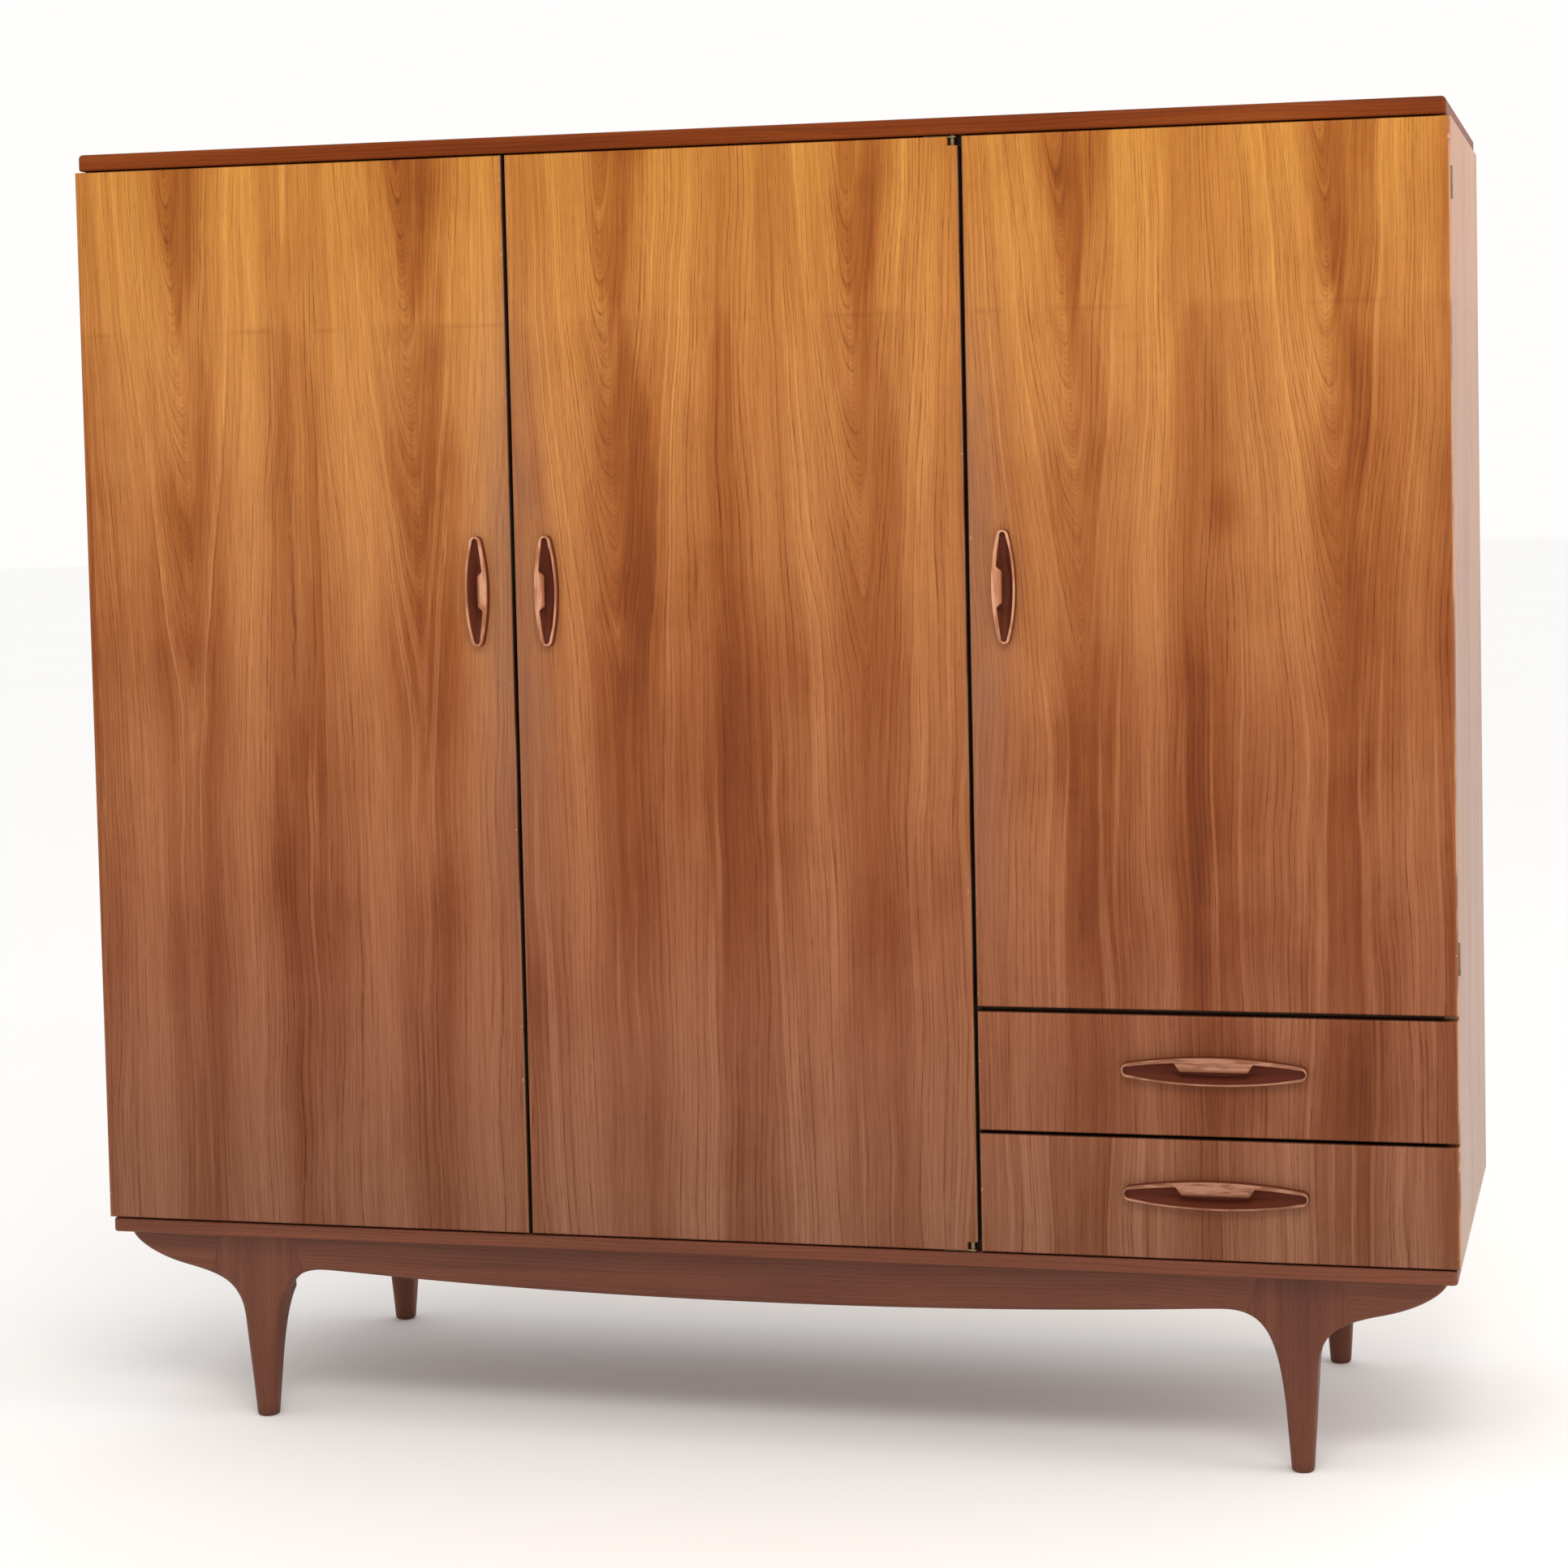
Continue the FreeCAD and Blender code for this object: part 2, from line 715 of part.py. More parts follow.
def pivot_arm(up, edge_z):
    """The door's half of a pivot hinge: a plate let into the door's edge, with a barrel."""
    low_z, high_z = band(up, edge_z, "0", "pivot_arm_thickness")
    half = "pivot_arm_width/2"
    plate = board(
        "Plate",
        (minus(PIVOT_X, "pivot_arm_length", f"-({half})"), minus(PIVOT_Y, half), low_z),
        (plus(PIVOT_X, half), plus(PIVOT_Y, half), high_z),
    )
    inwards = "-z" if up > 0 else "+z"
    centre = (PIVOT_X, PIVOT_Y, edge_z)
    barrel = rod(centre, inwards, "pivot_barrel_radius", "pivot_notch_height")
    bore = rod(centre, inwards, "pivot_pin_radius + pin_play", "pivot_notch_height")
    return cut(joined([plate, barrel]), [bore] + pivot_arm_screws(up, edge_z), "Arm")


def pivot_cuts(up, edge_z):
    """The corner notch for the barrel and the shallow recess for the plate."""
    low_z, high_z = band(up, edge_z, "-cut_past", "pivot_notch_height")
    notch = board(
        "Notch",
        (minus(RIGHT_SEAM, "door_gap/2", "pivot_notch_width"), minus(FRONT, "cut_past"), low_z),
        (plus(RIGHT_SEAM, "cut_past"), plus(FRONT_REAR, "cut_past"), high_z),
    )
    low_z, high_z = band(up, edge_z, "-cut_past", "pivot_arm_thickness")
    half = "pivot_arm_width/2"
    recess = board(
        "Recess",
        (minus(PIVOT_X, "pivot_arm_length", f"-({half})"), minus(PIVOT_Y, half), low_z),
        (plus(PIVOT_X, half), plus(PIVOT_Y, half), high_z),
    )
    return [notch, recess]


def pivot_pin(up, edge_z):
    """The pin: fast in the board, turning in the barrel."""
    start_z = f"{edge_z} - ({up})*pivot_pin_depth"
    outwards = "+z" if up > 0 else "-z"
    return rod((PIVOT_X, PIVOT_Y, start_z), outwards, "pivot_pin_radius", "2*pivot_pin_depth + edge_gap")


def pivoted_door(name, low_x, high_x, pull_x):
    """The middle door: it turns on pins let into the top and bottom boards."""
    low_z, high_z = plus(FLOOR, "edge_gap"), minus(CEILING, "edge_gap")
    pull_z = plus(FLOOR, "door_pull_height")
    body, seat = front_panel(name, low_x, high_x, low_z, high_z, "door", -90, pull_x, pull_z)
    ends = [(1, high_z), (-1, low_z)]
    screws = [screw for end in ends for screw in pivot_arm_screws(*end)]
    cuts = [tool for end in ends for tool in pivot_cuts(*end)]
    node(f"{name}_door_panel", cut(body, [seat] + cuts + screws))
    node(f"{name}_door_pull", carved_pull(name, "door", -90, pull_x, FRONT, pull_z))
    node("pivot_arms", group([pivot_arm(*end) for end in ends]))
    node("pivot_arm_screws", group(screws))
    pins = [pivot_pin(*end) for end in ends]
    node("pivot_pins", group(pins))
    return pins


# ---------------------------------------------------------------- drawers


def drawer_front_low(number_up):
    return plus(FLOOR, f"edge_gap + {number_up}*(drawer_front_height + drawer_gap)")


def drawer(name, number_up):
    """A drawer box with grooved sides behind an overlapping front."""
    front_low = drawer_front_low(number_up)
    front_high = plus(front_low, "drawer_front_height")
    low_x, high_x = plus(RIGHT_SEAM, "door_gap/2"), RIGHT
    pull_x = f"(({low_x}) + ({high_x}))/2"
    pull_z = plus(front_low, "drawer_front_height/2 + drawer_pull_raise")
    body, seat = front_panel(
        name, low_x, high_x, front_low, front_high, "drawer", 0, pull_x, pull_z,
    )
    node(f"{name}_front", cut(body, [seat]))
    node(f"{name}_pull", carved_pull(name, "drawer", 0, pull_x, FRONT, pull_z))
    side_z = plus(front_low, "drawer_side_raise")
    left_x, right_x = plus(PARTITION_RIGHT, "drawer_side_gap"), minus(INNER_RIGHT, "drawer_side_gap")
    node(f"{name}_left_side", drawer_side(name, 1, left_x, side_z))
    node(f"{name}_right_side", drawer_side(name, -1, right_x, side_z))
    inner_left = plus(left_x, "drawer_side_thickness")
    inner_right = minus(right_x, "drawer_side_thickness")
    bottom_low = plus(side_z, "drawer_bottom_raise")
    bottom_high = plus(bottom_low, "drawer_bottom_thickness")
    rear = minus(PANEL_FRONT, "drawer_back_gap", "drawer_back_inset")
    node(f"{name}_back", board(
        "Back",
        (inner_left, minus(rear, "drawer_back_thickness"), bottom_high),
        (inner_right, rear, plus(side_z, "drawer_side_height - drawer_back_drop")),
    ))
    node(f"{name}_bottom", board(
        "Bottom",
        (minus(inner_left, "drawer_groove"), FRONT_REAR, bottom_low),
        (plus(inner_right, "drawer_groove"), rear, bottom_high),
    ))


def drawer_side(name, inwards, outer_x, low_z):
    """A drawer side: grooved outside for its runner and inside for the bottom."""
    body = new_body(name + "_side_body")

    def x(depth):
        return f"({outer_x}) + ({inwards})*({depth})"

    groove_top = "runner_raise + runner_height + 2*runner_play"
    bottom_top = "drawer_bottom_raise + drawer_bottom_thickness"
    inner_groove = "drawer_side_thickness - drawer_groove"
    corners = [
        (x("0"), "0"), (x("drawer_side_thickness"), "0"),
        (x("drawer_side_thickness"), "drawer_bottom_raise"), (x(inner_groove), "drawer_bottom_raise"),
        (x(inner_groove), bottom_top), (x("drawer_side_thickness"), bottom_top),
        (x("drawer_side_thickness"), "drawer_side_height"), (x("0"), "drawer_side_height"),
        (x("0"), groove_top), (x("runner_groove"), groove_top),
        (x("runner_groove"), "runner_raise"), (x("0"), "runner_raise"),
    ]
    pad(body, outline(sketch_on(body, "XZ_Plane"), corners), DRAWER_LENGTH)
    return at_rest(body, y=minus(PANEL_FRONT, "drawer_back_gap"), z=low_z)


def runner(inwards, wall_x, number_up):
    """A hardwood strip on the carcass that a drawer side's groove runs on, and its two screws."""
    low_z = plus(drawer_front_low(number_up), "drawer_side_raise + runner_raise + runner_play")
    proud = "(drawer_side_gap + runner_groove - runner_play)"
    near, far = (wall_x, plus(wall_x, proud)) if inwards > 0 else (minus(wall_x, proud), wall_x)
    start_y, end_y = plus(CARCASS_FRONT, "runner_front_gap"), minus(PANEL_FRONT, "runner_back_gap")
    strip = board("Runner", (near, start_y, low_z), (far, end_y, plus(low_z, "runner_height")))
    face_x = far if inwards > 0 else near
    towards = "-x" if inwards > 0 else "+x"
    middle_z = plus(low_z, "runner_height/2")
    screws = [
        countersunk((face_x, y, middle_z), towards, "runner_screw_sink", "runner_screw_length")
        for y in (plus(start_y, "runner_screw_inset"), minus(end_y, "runner_screw_inset"))
    ]
    return cut(strip, screws, "Runner"), screws


# ---------------------------------------------------------------- base frame


def apron(y):
    """A long board on edge: a bellied underside, curved shoulders down to the legs, and wings."""
    body = new_body("apron_body")
    half = f"({minus(RIGHT, 'apron_end_inset')})"
    wing_x = minus(half, "wing_length")
    outer = f"({LEG_X} + neck_width/2)"
    inner = f"({LEG_X} - neck_width/2)"
    run = f"({inner} - shoulder_run)"
    sag = "(belly_depth - wing_depth)"
    belly = f"(({run}^2 + {sag}^2)/(2*{sag}))"
    right = [
        (run, "-wing_depth"), (inner, "-neck_drop"), (outer, "-neck_drop"),
        (wing_x, "-wing_depth"), (half, "-wing_tip"), (half, "0"),
    ]
    left = [(f"-({x})", z) for x, z in reversed(right)]
    curved = {
        1: (1, "wing_radius"), 2: (-1, "shoulder_radius"), 4: (-1, "fillet_radius"),
        5: (1, belly),
        6: (-1, "fillet_radius"), 8: (-1, "shoulder_radius"), 9: (1, "wing_radius"),
    }
    pad(body, outline(sketch_on(body, "XZ_Plane"), left + right, curved), "apron_thickness")
    return at_rest(body, y=y, z="base_height")


def leg(name, side, middle_y):
    """A leg lofted through four soft-cornered sections, from the neck to the foot."""
    body = new_body(name + "_body")
    stations = [
        ("neck", "neck_drop"), ("throat", "throat_drop"), ("knee", "knee_drop"), ("foot", "base_height"),
    ]
    sections = []
    for part, drop in stations:
        level = sketch_on(body, "XY_Plane", f"-({drop})")
        sections.append(soft_rectangle(level, f"{part}_width", f"{part}_depth", f"{part}_corner"))
    loft = body.newObject("PartDesign::AdditiveLoft", "Loft")
    loft.Profile = sections[0]
    loft.Sections = sections[1:]
    return at_rest(body, f"{side}*({LEG_X})", middle_y, "base_height")


def soft_rectangle(sketch, width, depth, corner):
    """A rectangle with round corners, centred on the sketch's origin."""
    x, y = f"({width}/2)", f"({depth}/2)"
    near_x, near_y = f"({x} - {corner})", f"({y} - {corner})"
    corners = [
        (near_x, f"-{y}"), (x, f"-{near_y}"), (x, near_y), (near_x, y),
        (f"-{near_x}", y), (f"-{x}", near_y), (f"-{x}", f"-{near_y}"), (f"-{near_x}", f"-{y}"),
    ]
    return outline(sketch, corners, {i: (1, corner) for i in (0, 2, 4, 6)})


def base_rail(x, depth):
    """A rail from the front apron to the rear one, and its screws up into the bottom board."""
    low_y = plus(APRON_FRONT, "apron_thickness")
    high_y = minus(BACK, "apron_setback", "apron_thickness")
    strip = board(
        "Rail",
        (minus(x, "base_rail_thickness/2"), low_y, minus("base_height", depth)),
        (plus(x, "base_rail_thickness/2"), high_y, "base_height"),
    )
    seat_z = minus("base_height", "base_screw_grip")
    screws, wells = [], []
    for share in ("base_screw_share", "(1 - base_screw_share)"):
        y = f"({low_y}) + (({high_y}) - ({low_y}))*{share}"
        shank = rod((x, y, seat_z), "+z", "base_screw_radius", "base_screw_grip + base_screw_bite")
        head = rod((x, y, seat_z), "-z", "base_screw_head", "base_screw_head_height")
        screws.append(joined([shank, head], "Screw"))
        wells.append(rod((x, y, seat_z), "-z", "base_screw_head", f"{depth} - base_screw_grip"))
    return cut(strip, screws + wells, "Rail"), screws


# ---------------------------------------------------------------- the wardrobe


def hat_shelf_and_rail():
    """The fixed shelf of the wide compartment and the clothes rail under it."""
    left_x = f"-({INNER_RIGHT})"
    shelf_back = minus(PANEL_FRONT, "batten_thickness")
    node("hat_shelf", board(
        "Shelf", (left_x, SHELF_FRONT, HAT_SHELF_LOW), (PARTITION_LEFT, shelf_back, HAT_SHELF_TOP),
    ))
    start_x = plus(left_x, "socket_floor")
    length = minus(PARTITION_LEFT, left_x, "2*socket_floor")
    tube = rod((start_x, RAIL_Y, RAIL_Z), "+x", "rail_radius", length)
    bore = rod((start_x, RAIL_Y, RAIL_Z), "+x", "rail_radius - rail_wall", length)
    node("clothes_rail", cut(tube, [bore]))
    sockets = []
    for wall_x, direction, step in ((left_x, "+x", 1), (PARTITION_LEFT, "-x", -1)):
        cup = rod((wall_x, RAIL_Y, RAIL_Z), direction, "socket_radius", "socket_length")
        seat_x = f"({wall_x}) + ({step})*socket_floor"
        seat = rod((seat_x, RAIL_Y, RAIL_Z), direction, "rail_radius", "socket_length")
        sockets.append(cut(cup, [seat], "Socket"))
    node("rail_sockets", group(sockets))
    middle = f"(({left_x}) + ({PARTITION_LEFT}))/2"
    half = "hanger_width/2"
    low_x, high_x = minus(middle, half), plus(middle, half)
    strap = board(
        "Strap",
        (low_x, minus(RAIL_Y, "hanger_plate/2"), plus(RAIL_Z, "rail_radius")),
        (high_x, plus(RAIL_Y, "hanger_plate/2"), HAT_SHELF_LOW),
    )
    foot = board(
        "Foot",
        (low_x, minus(RAIL_Y, "hanger_foot_length/2"), minus(HAT_SHELF_LOW, "hanger_plate")),
        (high_x, plus(RAIL_Y, "hanger_foot_length/2"), HAT_SHELF_LOW),
    )
    ring = rod((low_x, RAIL_Y, RAIL_Z), "+x", "rail_radius + hanger_plate", "hanger_width")
    hole = rod((low_x, RAIL_Y, RAIL_Z), "+x", "rail_radius", "hanger_width")
    node("rail_hanger", cut(joined([strap, foot, ring]), [hole]))


def linen_shelves():
    """Three loose shelves on pegs; returns the pegs of the partition and of the right side."""
    low_x, high_x = plus(PARTITION_RIGHT, "shelf_side_gap"), minus(INNER_RIGHT, "shelf_side_gap")
    back_y = minus(PANEL_FRONT, "shelf_back_gap")
    free = f"(({CEILING}) - ({DIVIDER_HIGH}) - {LINEN_SHELVES}*shelf_thickness)"
    step = f"({free}/{LINEN_SHELVES + 1} + shelf_thickness)"
    shelves, pegs_left, pegs_right = [], [], []
    for i in range(1, LINEN_SHELVES + 1):
        top_z = f"({DIVIDER_HIGH}) + {i}*{step}"
        under_z = minus(top_z, "shelf_thickness")
        shelves.append(board("Shelf", (low_x, SHELF_FRONT, under_z), (high_x, back_y, top_z)))
        peg_z = minus(under_z, "peg_radius")
        for y in (plus(SHELF_FRONT, "peg_inset"), minus(back_y, "peg_inset")):
            left_start = minus(PARTITION_RIGHT, "peg_in")
            right_start = plus(INNER_RIGHT, "peg_in")
            pegs_left.append(rod((left_start, y, peg_z), "+x", "peg_radius", "peg_in + peg_out"))
            pegs_right.append(rod((right_start, y, peg_z), "-x", "peg_radius", "peg_in + peg_out"))
    node("linen_shelves", group(shelves))
    node("shelf_pegs", group(pegs_left + pegs_right))
    return pegs_left, pegs_right


def drawers():
    """Two drawers and their runners; returns the runner screws of the partition and of the side."""
    strips, left_screws, right_screws = [], [], []
    for number_up, name in enumerate(("lower_drawer", "upper_drawer")):
        drawer(name, number_up)
        left_strip, left = runner(1, PARTITION_RIGHT, number_up)
        right_strip, right = runner(-1, INNER_RIGHT, number_up)
        strips += [left_strip, right_strip]
        left_screws += left
        right_screws += right
    node("drawer_runners", group(strips))
    node("runner_screws", group(left_screws + right_screws))
    return left_screws, right_screws


def base():
    """Front and rear aprons, three rails and four legs; returns the screws into the bottom board."""
    rear_y = minus(BACK, "apron_setback")
    node("front_apron", apron(plus(APRON_FRONT, "apron_thickness")))
    node("rear_apron", apron(rear_y))
    leg_ys = {"front": plus(APRON_FRONT, "neck_depth/2"), "rear": minus(rear_y, "neck_depth/2")}
    for end, y in leg_ys.items():
        for hand, side in (("left", -1), ("right", 1)):
            node(f"{end}_{hand}_leg", leg(end, side, y))
    left_rail, left_screws = base_rail(f"-({LEG_X})", "neck_drop")
    centre_rail, centre_screws = base_rail("0", "centre_rail_depth")
    right_rail, right_screws = base_rail(LEG_X, "neck_drop")
    node("base_side_rails", group([left_rail, right_rail]))
    node("base_centre_rail", centre_rail)
    screws = left_screws + centre_screws + right_screws
    node("base_screws", group(screws))
    return screws


def back_screws():
    """The screws of the back panels, sorted by the board that they bite into and by panel."""
    by_board, by_panel, every = {}, {}, []
    for panel, x, z, behind in back_screw_places():
        shank = rod((x, BACK, z), "-y", "back_screw_radius", "back_thickness + back_screw_bite")
        head = cone((x, BACK, z), "+y", "back_screw_head", "back_screw_crown", "back_screw_dome")
        by_board.setdefault(behind, []).append(shank)
        by_panel.setdefault(panel, []).append(shank)
        every.append(joined([shank, head], "Screw"))
    node("back_screws", group(every))
    return by_board, by_panel


def wardrobe():
    left_hinges = [
        plus(FLOOR, "edge_gap + hinge_low"),
        plus(FLOOR, "opening_height/2 - hinge_height/2"),
        minus(CEILING, "edge_gap + hinge_high + hinge_height"),
    ]
    right_door_low = plus(DRAWERS_TOP, "drawer_head_gap")
    right_hinges = [plus(right_door_low, "hinge_low"), left_hinges[-1]]
    door_low = plus(FLOOR, "edge_gap")
    half_gap = "door_gap/2"

    hung_door(
        "left", -1, f"-({RIGHT})", minus(LEFT_SEAM, half_gap), door_low, 90,
        minus(LEFT_SEAM, "door_pull_inset"), left_hinges,
    )
    pins = pivoted_door(
        "middle", plus(LEFT_SEAM, half_gap), minus(RIGHT_SEAM, half_gap),
        plus(LEFT_SEAM, "door_pull_inset"),
    )
    hung_door(
        "right", 1, plus(RIGHT_SEAM, half_gap), RIGHT, right_door_low, -90,
        plus(RIGHT_SEAM, "door_pull_inset"), right_hinges,
    )
    catch_places = {
        "left": minus(LEFT_SEAM, "catch_inset"),
        "middle": plus(LEFT_SEAM, "catch_inset"),
        "right": plus(RIGHT_SEAM, "catch_inset"),
    }
    for name, x in catch_places.items():
        strike(name, x)
    node("door_catches", group([catch(x) for x in catch_places.values()]))

    left_frame_screws = [screw for z in left_hinges for screw in hinge_screws(-1, z, False)]
    right_frame_screws = [screw for z in right_hinges for screw in hinge_screws(1, z, False)]
    hinges = [(-1, z) for z in left_hinges] + [(1, z) for z in right_hinges]
    node("side_hinge_screws", group(left_frame_screws + right_frame_screws))
    node("side_hinge_leaves", group([hinge_leaf(side, z, False) for side, z in hinges]))
    node("hinge_pins", group([hinge_pin(side, z) for side, z in hinges]))

    hat_shelf_and_rail()
    pegs_left, pegs_right = linen_shelves()
    runner_left, runner_right = drawers()
    base_screws = base()
    by_board, by_panel = back_screws()

    node("top_board", cut(
        long_board("top_board", "top_thickness", CEILING, "top_round", "lower_round"), pins[:1],
    ))
    node("bottom_board", cut(
        long_board("bottom_board", "bottom_thickness", "base_height", "lower_round", "lower_round"),
        pins[1:] + base_screws,
    ))
    node("left_side", cut(
        upright_side(-1),
        [barrel_notch(-1, z) for z in left_hinges] + left_frame_screws + by_board["left_side"],
    ))
    node("right_side", cut(
        upright_side(1),
        [barrel_notch(1, z) for z in right_hinges] + right_frame_screws + pegs_right + runner_right
        + by_board["right_side"],
    ))
    node("partition", cut(
        board(
            "Partition", (PARTITION_LEFT, CARCASS_FRONT, FLOOR), (PARTITION_RIGHT, PANEL_FRONT, CEILING),
        ),
        pegs_left + runner_left + by_board["partition"],
    ))
    node("drawer_divider", board(
        "Divider",
        (PARTITION_RIGHT, CARCASS_FRONT, DIVIDER_LOW), (INNER_RIGHT, PANEL_FRONT, DIVIDER_HIGH),
    ))
    node("back_batten", cut(
        board(
            "Batten",
            (minus(LEFT_SEAM, "batten_width/2"), minus(PANEL_FRONT, "batten_thickness"), FLOOR),
            (plus(LEFT_SEAM, "batten_width/2"), PANEL_FRONT, CEILING),
        ),
        by_board["back_batten"],
    ))
    for name, panel in back_panels().items():
        node(name, cut(panel, by_panel[name]))


def check_document():
    """Stops at any object that failed and any sub-part without a sound shape."""
    doc.recompute()
    for thing in doc.Objects:
        if "Invalid" in thing.State or "Error" in thing.State:
            raise RuntimeError(f"{thing.Name} ({thing.Label}) failed: {thing.State}")
    for name, thing in nodes.items():
        shape = thing.Shape
        if shape.isNull() or not shape.isValid() or not shape.Solids:
            raise RuntimeError(f"{name} has no sound solid")


wardrobe()
check_document()
os.makedirs("parts", exist_ok=True)
for node_name, thing in sorted(nodes.items()):
    thing.Shape.exportStep(f"parts/{node_name}.step")
print(len(nodes), "nodes written")
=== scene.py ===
"""The looks of a three-door teak wardrobe with two drawers, on a carved base frame.

Metres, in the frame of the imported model: +X right, +Y back, +Z up, doors towards -Y.
"""

import json
import math
from functools import reduce

import bmesh
import bpy
from mathutils import Matrix, Vector
from mathutils.geometry import interpolate_bezier

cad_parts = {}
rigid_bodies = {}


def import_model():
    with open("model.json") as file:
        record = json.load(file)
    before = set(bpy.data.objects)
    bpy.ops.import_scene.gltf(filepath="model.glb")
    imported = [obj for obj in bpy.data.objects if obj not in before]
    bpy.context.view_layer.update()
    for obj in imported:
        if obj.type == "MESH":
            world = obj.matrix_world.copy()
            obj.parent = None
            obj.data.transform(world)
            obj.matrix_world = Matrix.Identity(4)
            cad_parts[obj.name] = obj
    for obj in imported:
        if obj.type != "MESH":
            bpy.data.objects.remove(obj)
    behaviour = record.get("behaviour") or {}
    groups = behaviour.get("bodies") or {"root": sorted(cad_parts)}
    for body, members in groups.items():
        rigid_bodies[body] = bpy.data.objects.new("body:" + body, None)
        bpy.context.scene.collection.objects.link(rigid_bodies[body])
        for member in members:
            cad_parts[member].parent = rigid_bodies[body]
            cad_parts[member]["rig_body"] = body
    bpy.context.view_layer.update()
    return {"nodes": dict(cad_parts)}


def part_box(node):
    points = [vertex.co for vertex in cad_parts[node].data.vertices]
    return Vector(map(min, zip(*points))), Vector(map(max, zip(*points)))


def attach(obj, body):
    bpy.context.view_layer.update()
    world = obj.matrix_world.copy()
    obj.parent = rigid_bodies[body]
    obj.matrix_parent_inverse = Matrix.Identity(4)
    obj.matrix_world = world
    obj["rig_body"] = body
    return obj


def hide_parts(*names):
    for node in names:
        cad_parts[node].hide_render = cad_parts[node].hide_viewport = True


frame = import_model()

MM = 0.001
X, Y, Z = 0, 1, 2


# ------------ places taken from the frame


def cad(node):
    return frame["nodes"][node]


def low(node, axis):
    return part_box(node)[0][axis]


def high(node, axis):
    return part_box(node)[1][axis]


def middle(node, axis):
    return (low(node, axis) + high(node, axis)) / 2


def span(node, axis):
    return low(node, axis), high(node, axis)


DOOR_TOP = high("left_door_panel", Z)
DOOR_FOOT = low("left_door_panel", Z)
BASE_TOP = high("front_apron", Z)
NECK = high("front_left_leg", Z)
LEG_MIDDLE = middle("front_right_leg", X)


# ------------ writing materials

# the sockets of a Mix node that mixes colours
MIX_FACTOR, MIX_FIRST, MIX_SECOND, MIX_RESULT = 0, 6, 7, 2
GRAIN_DEPTH = 0.2 * MM


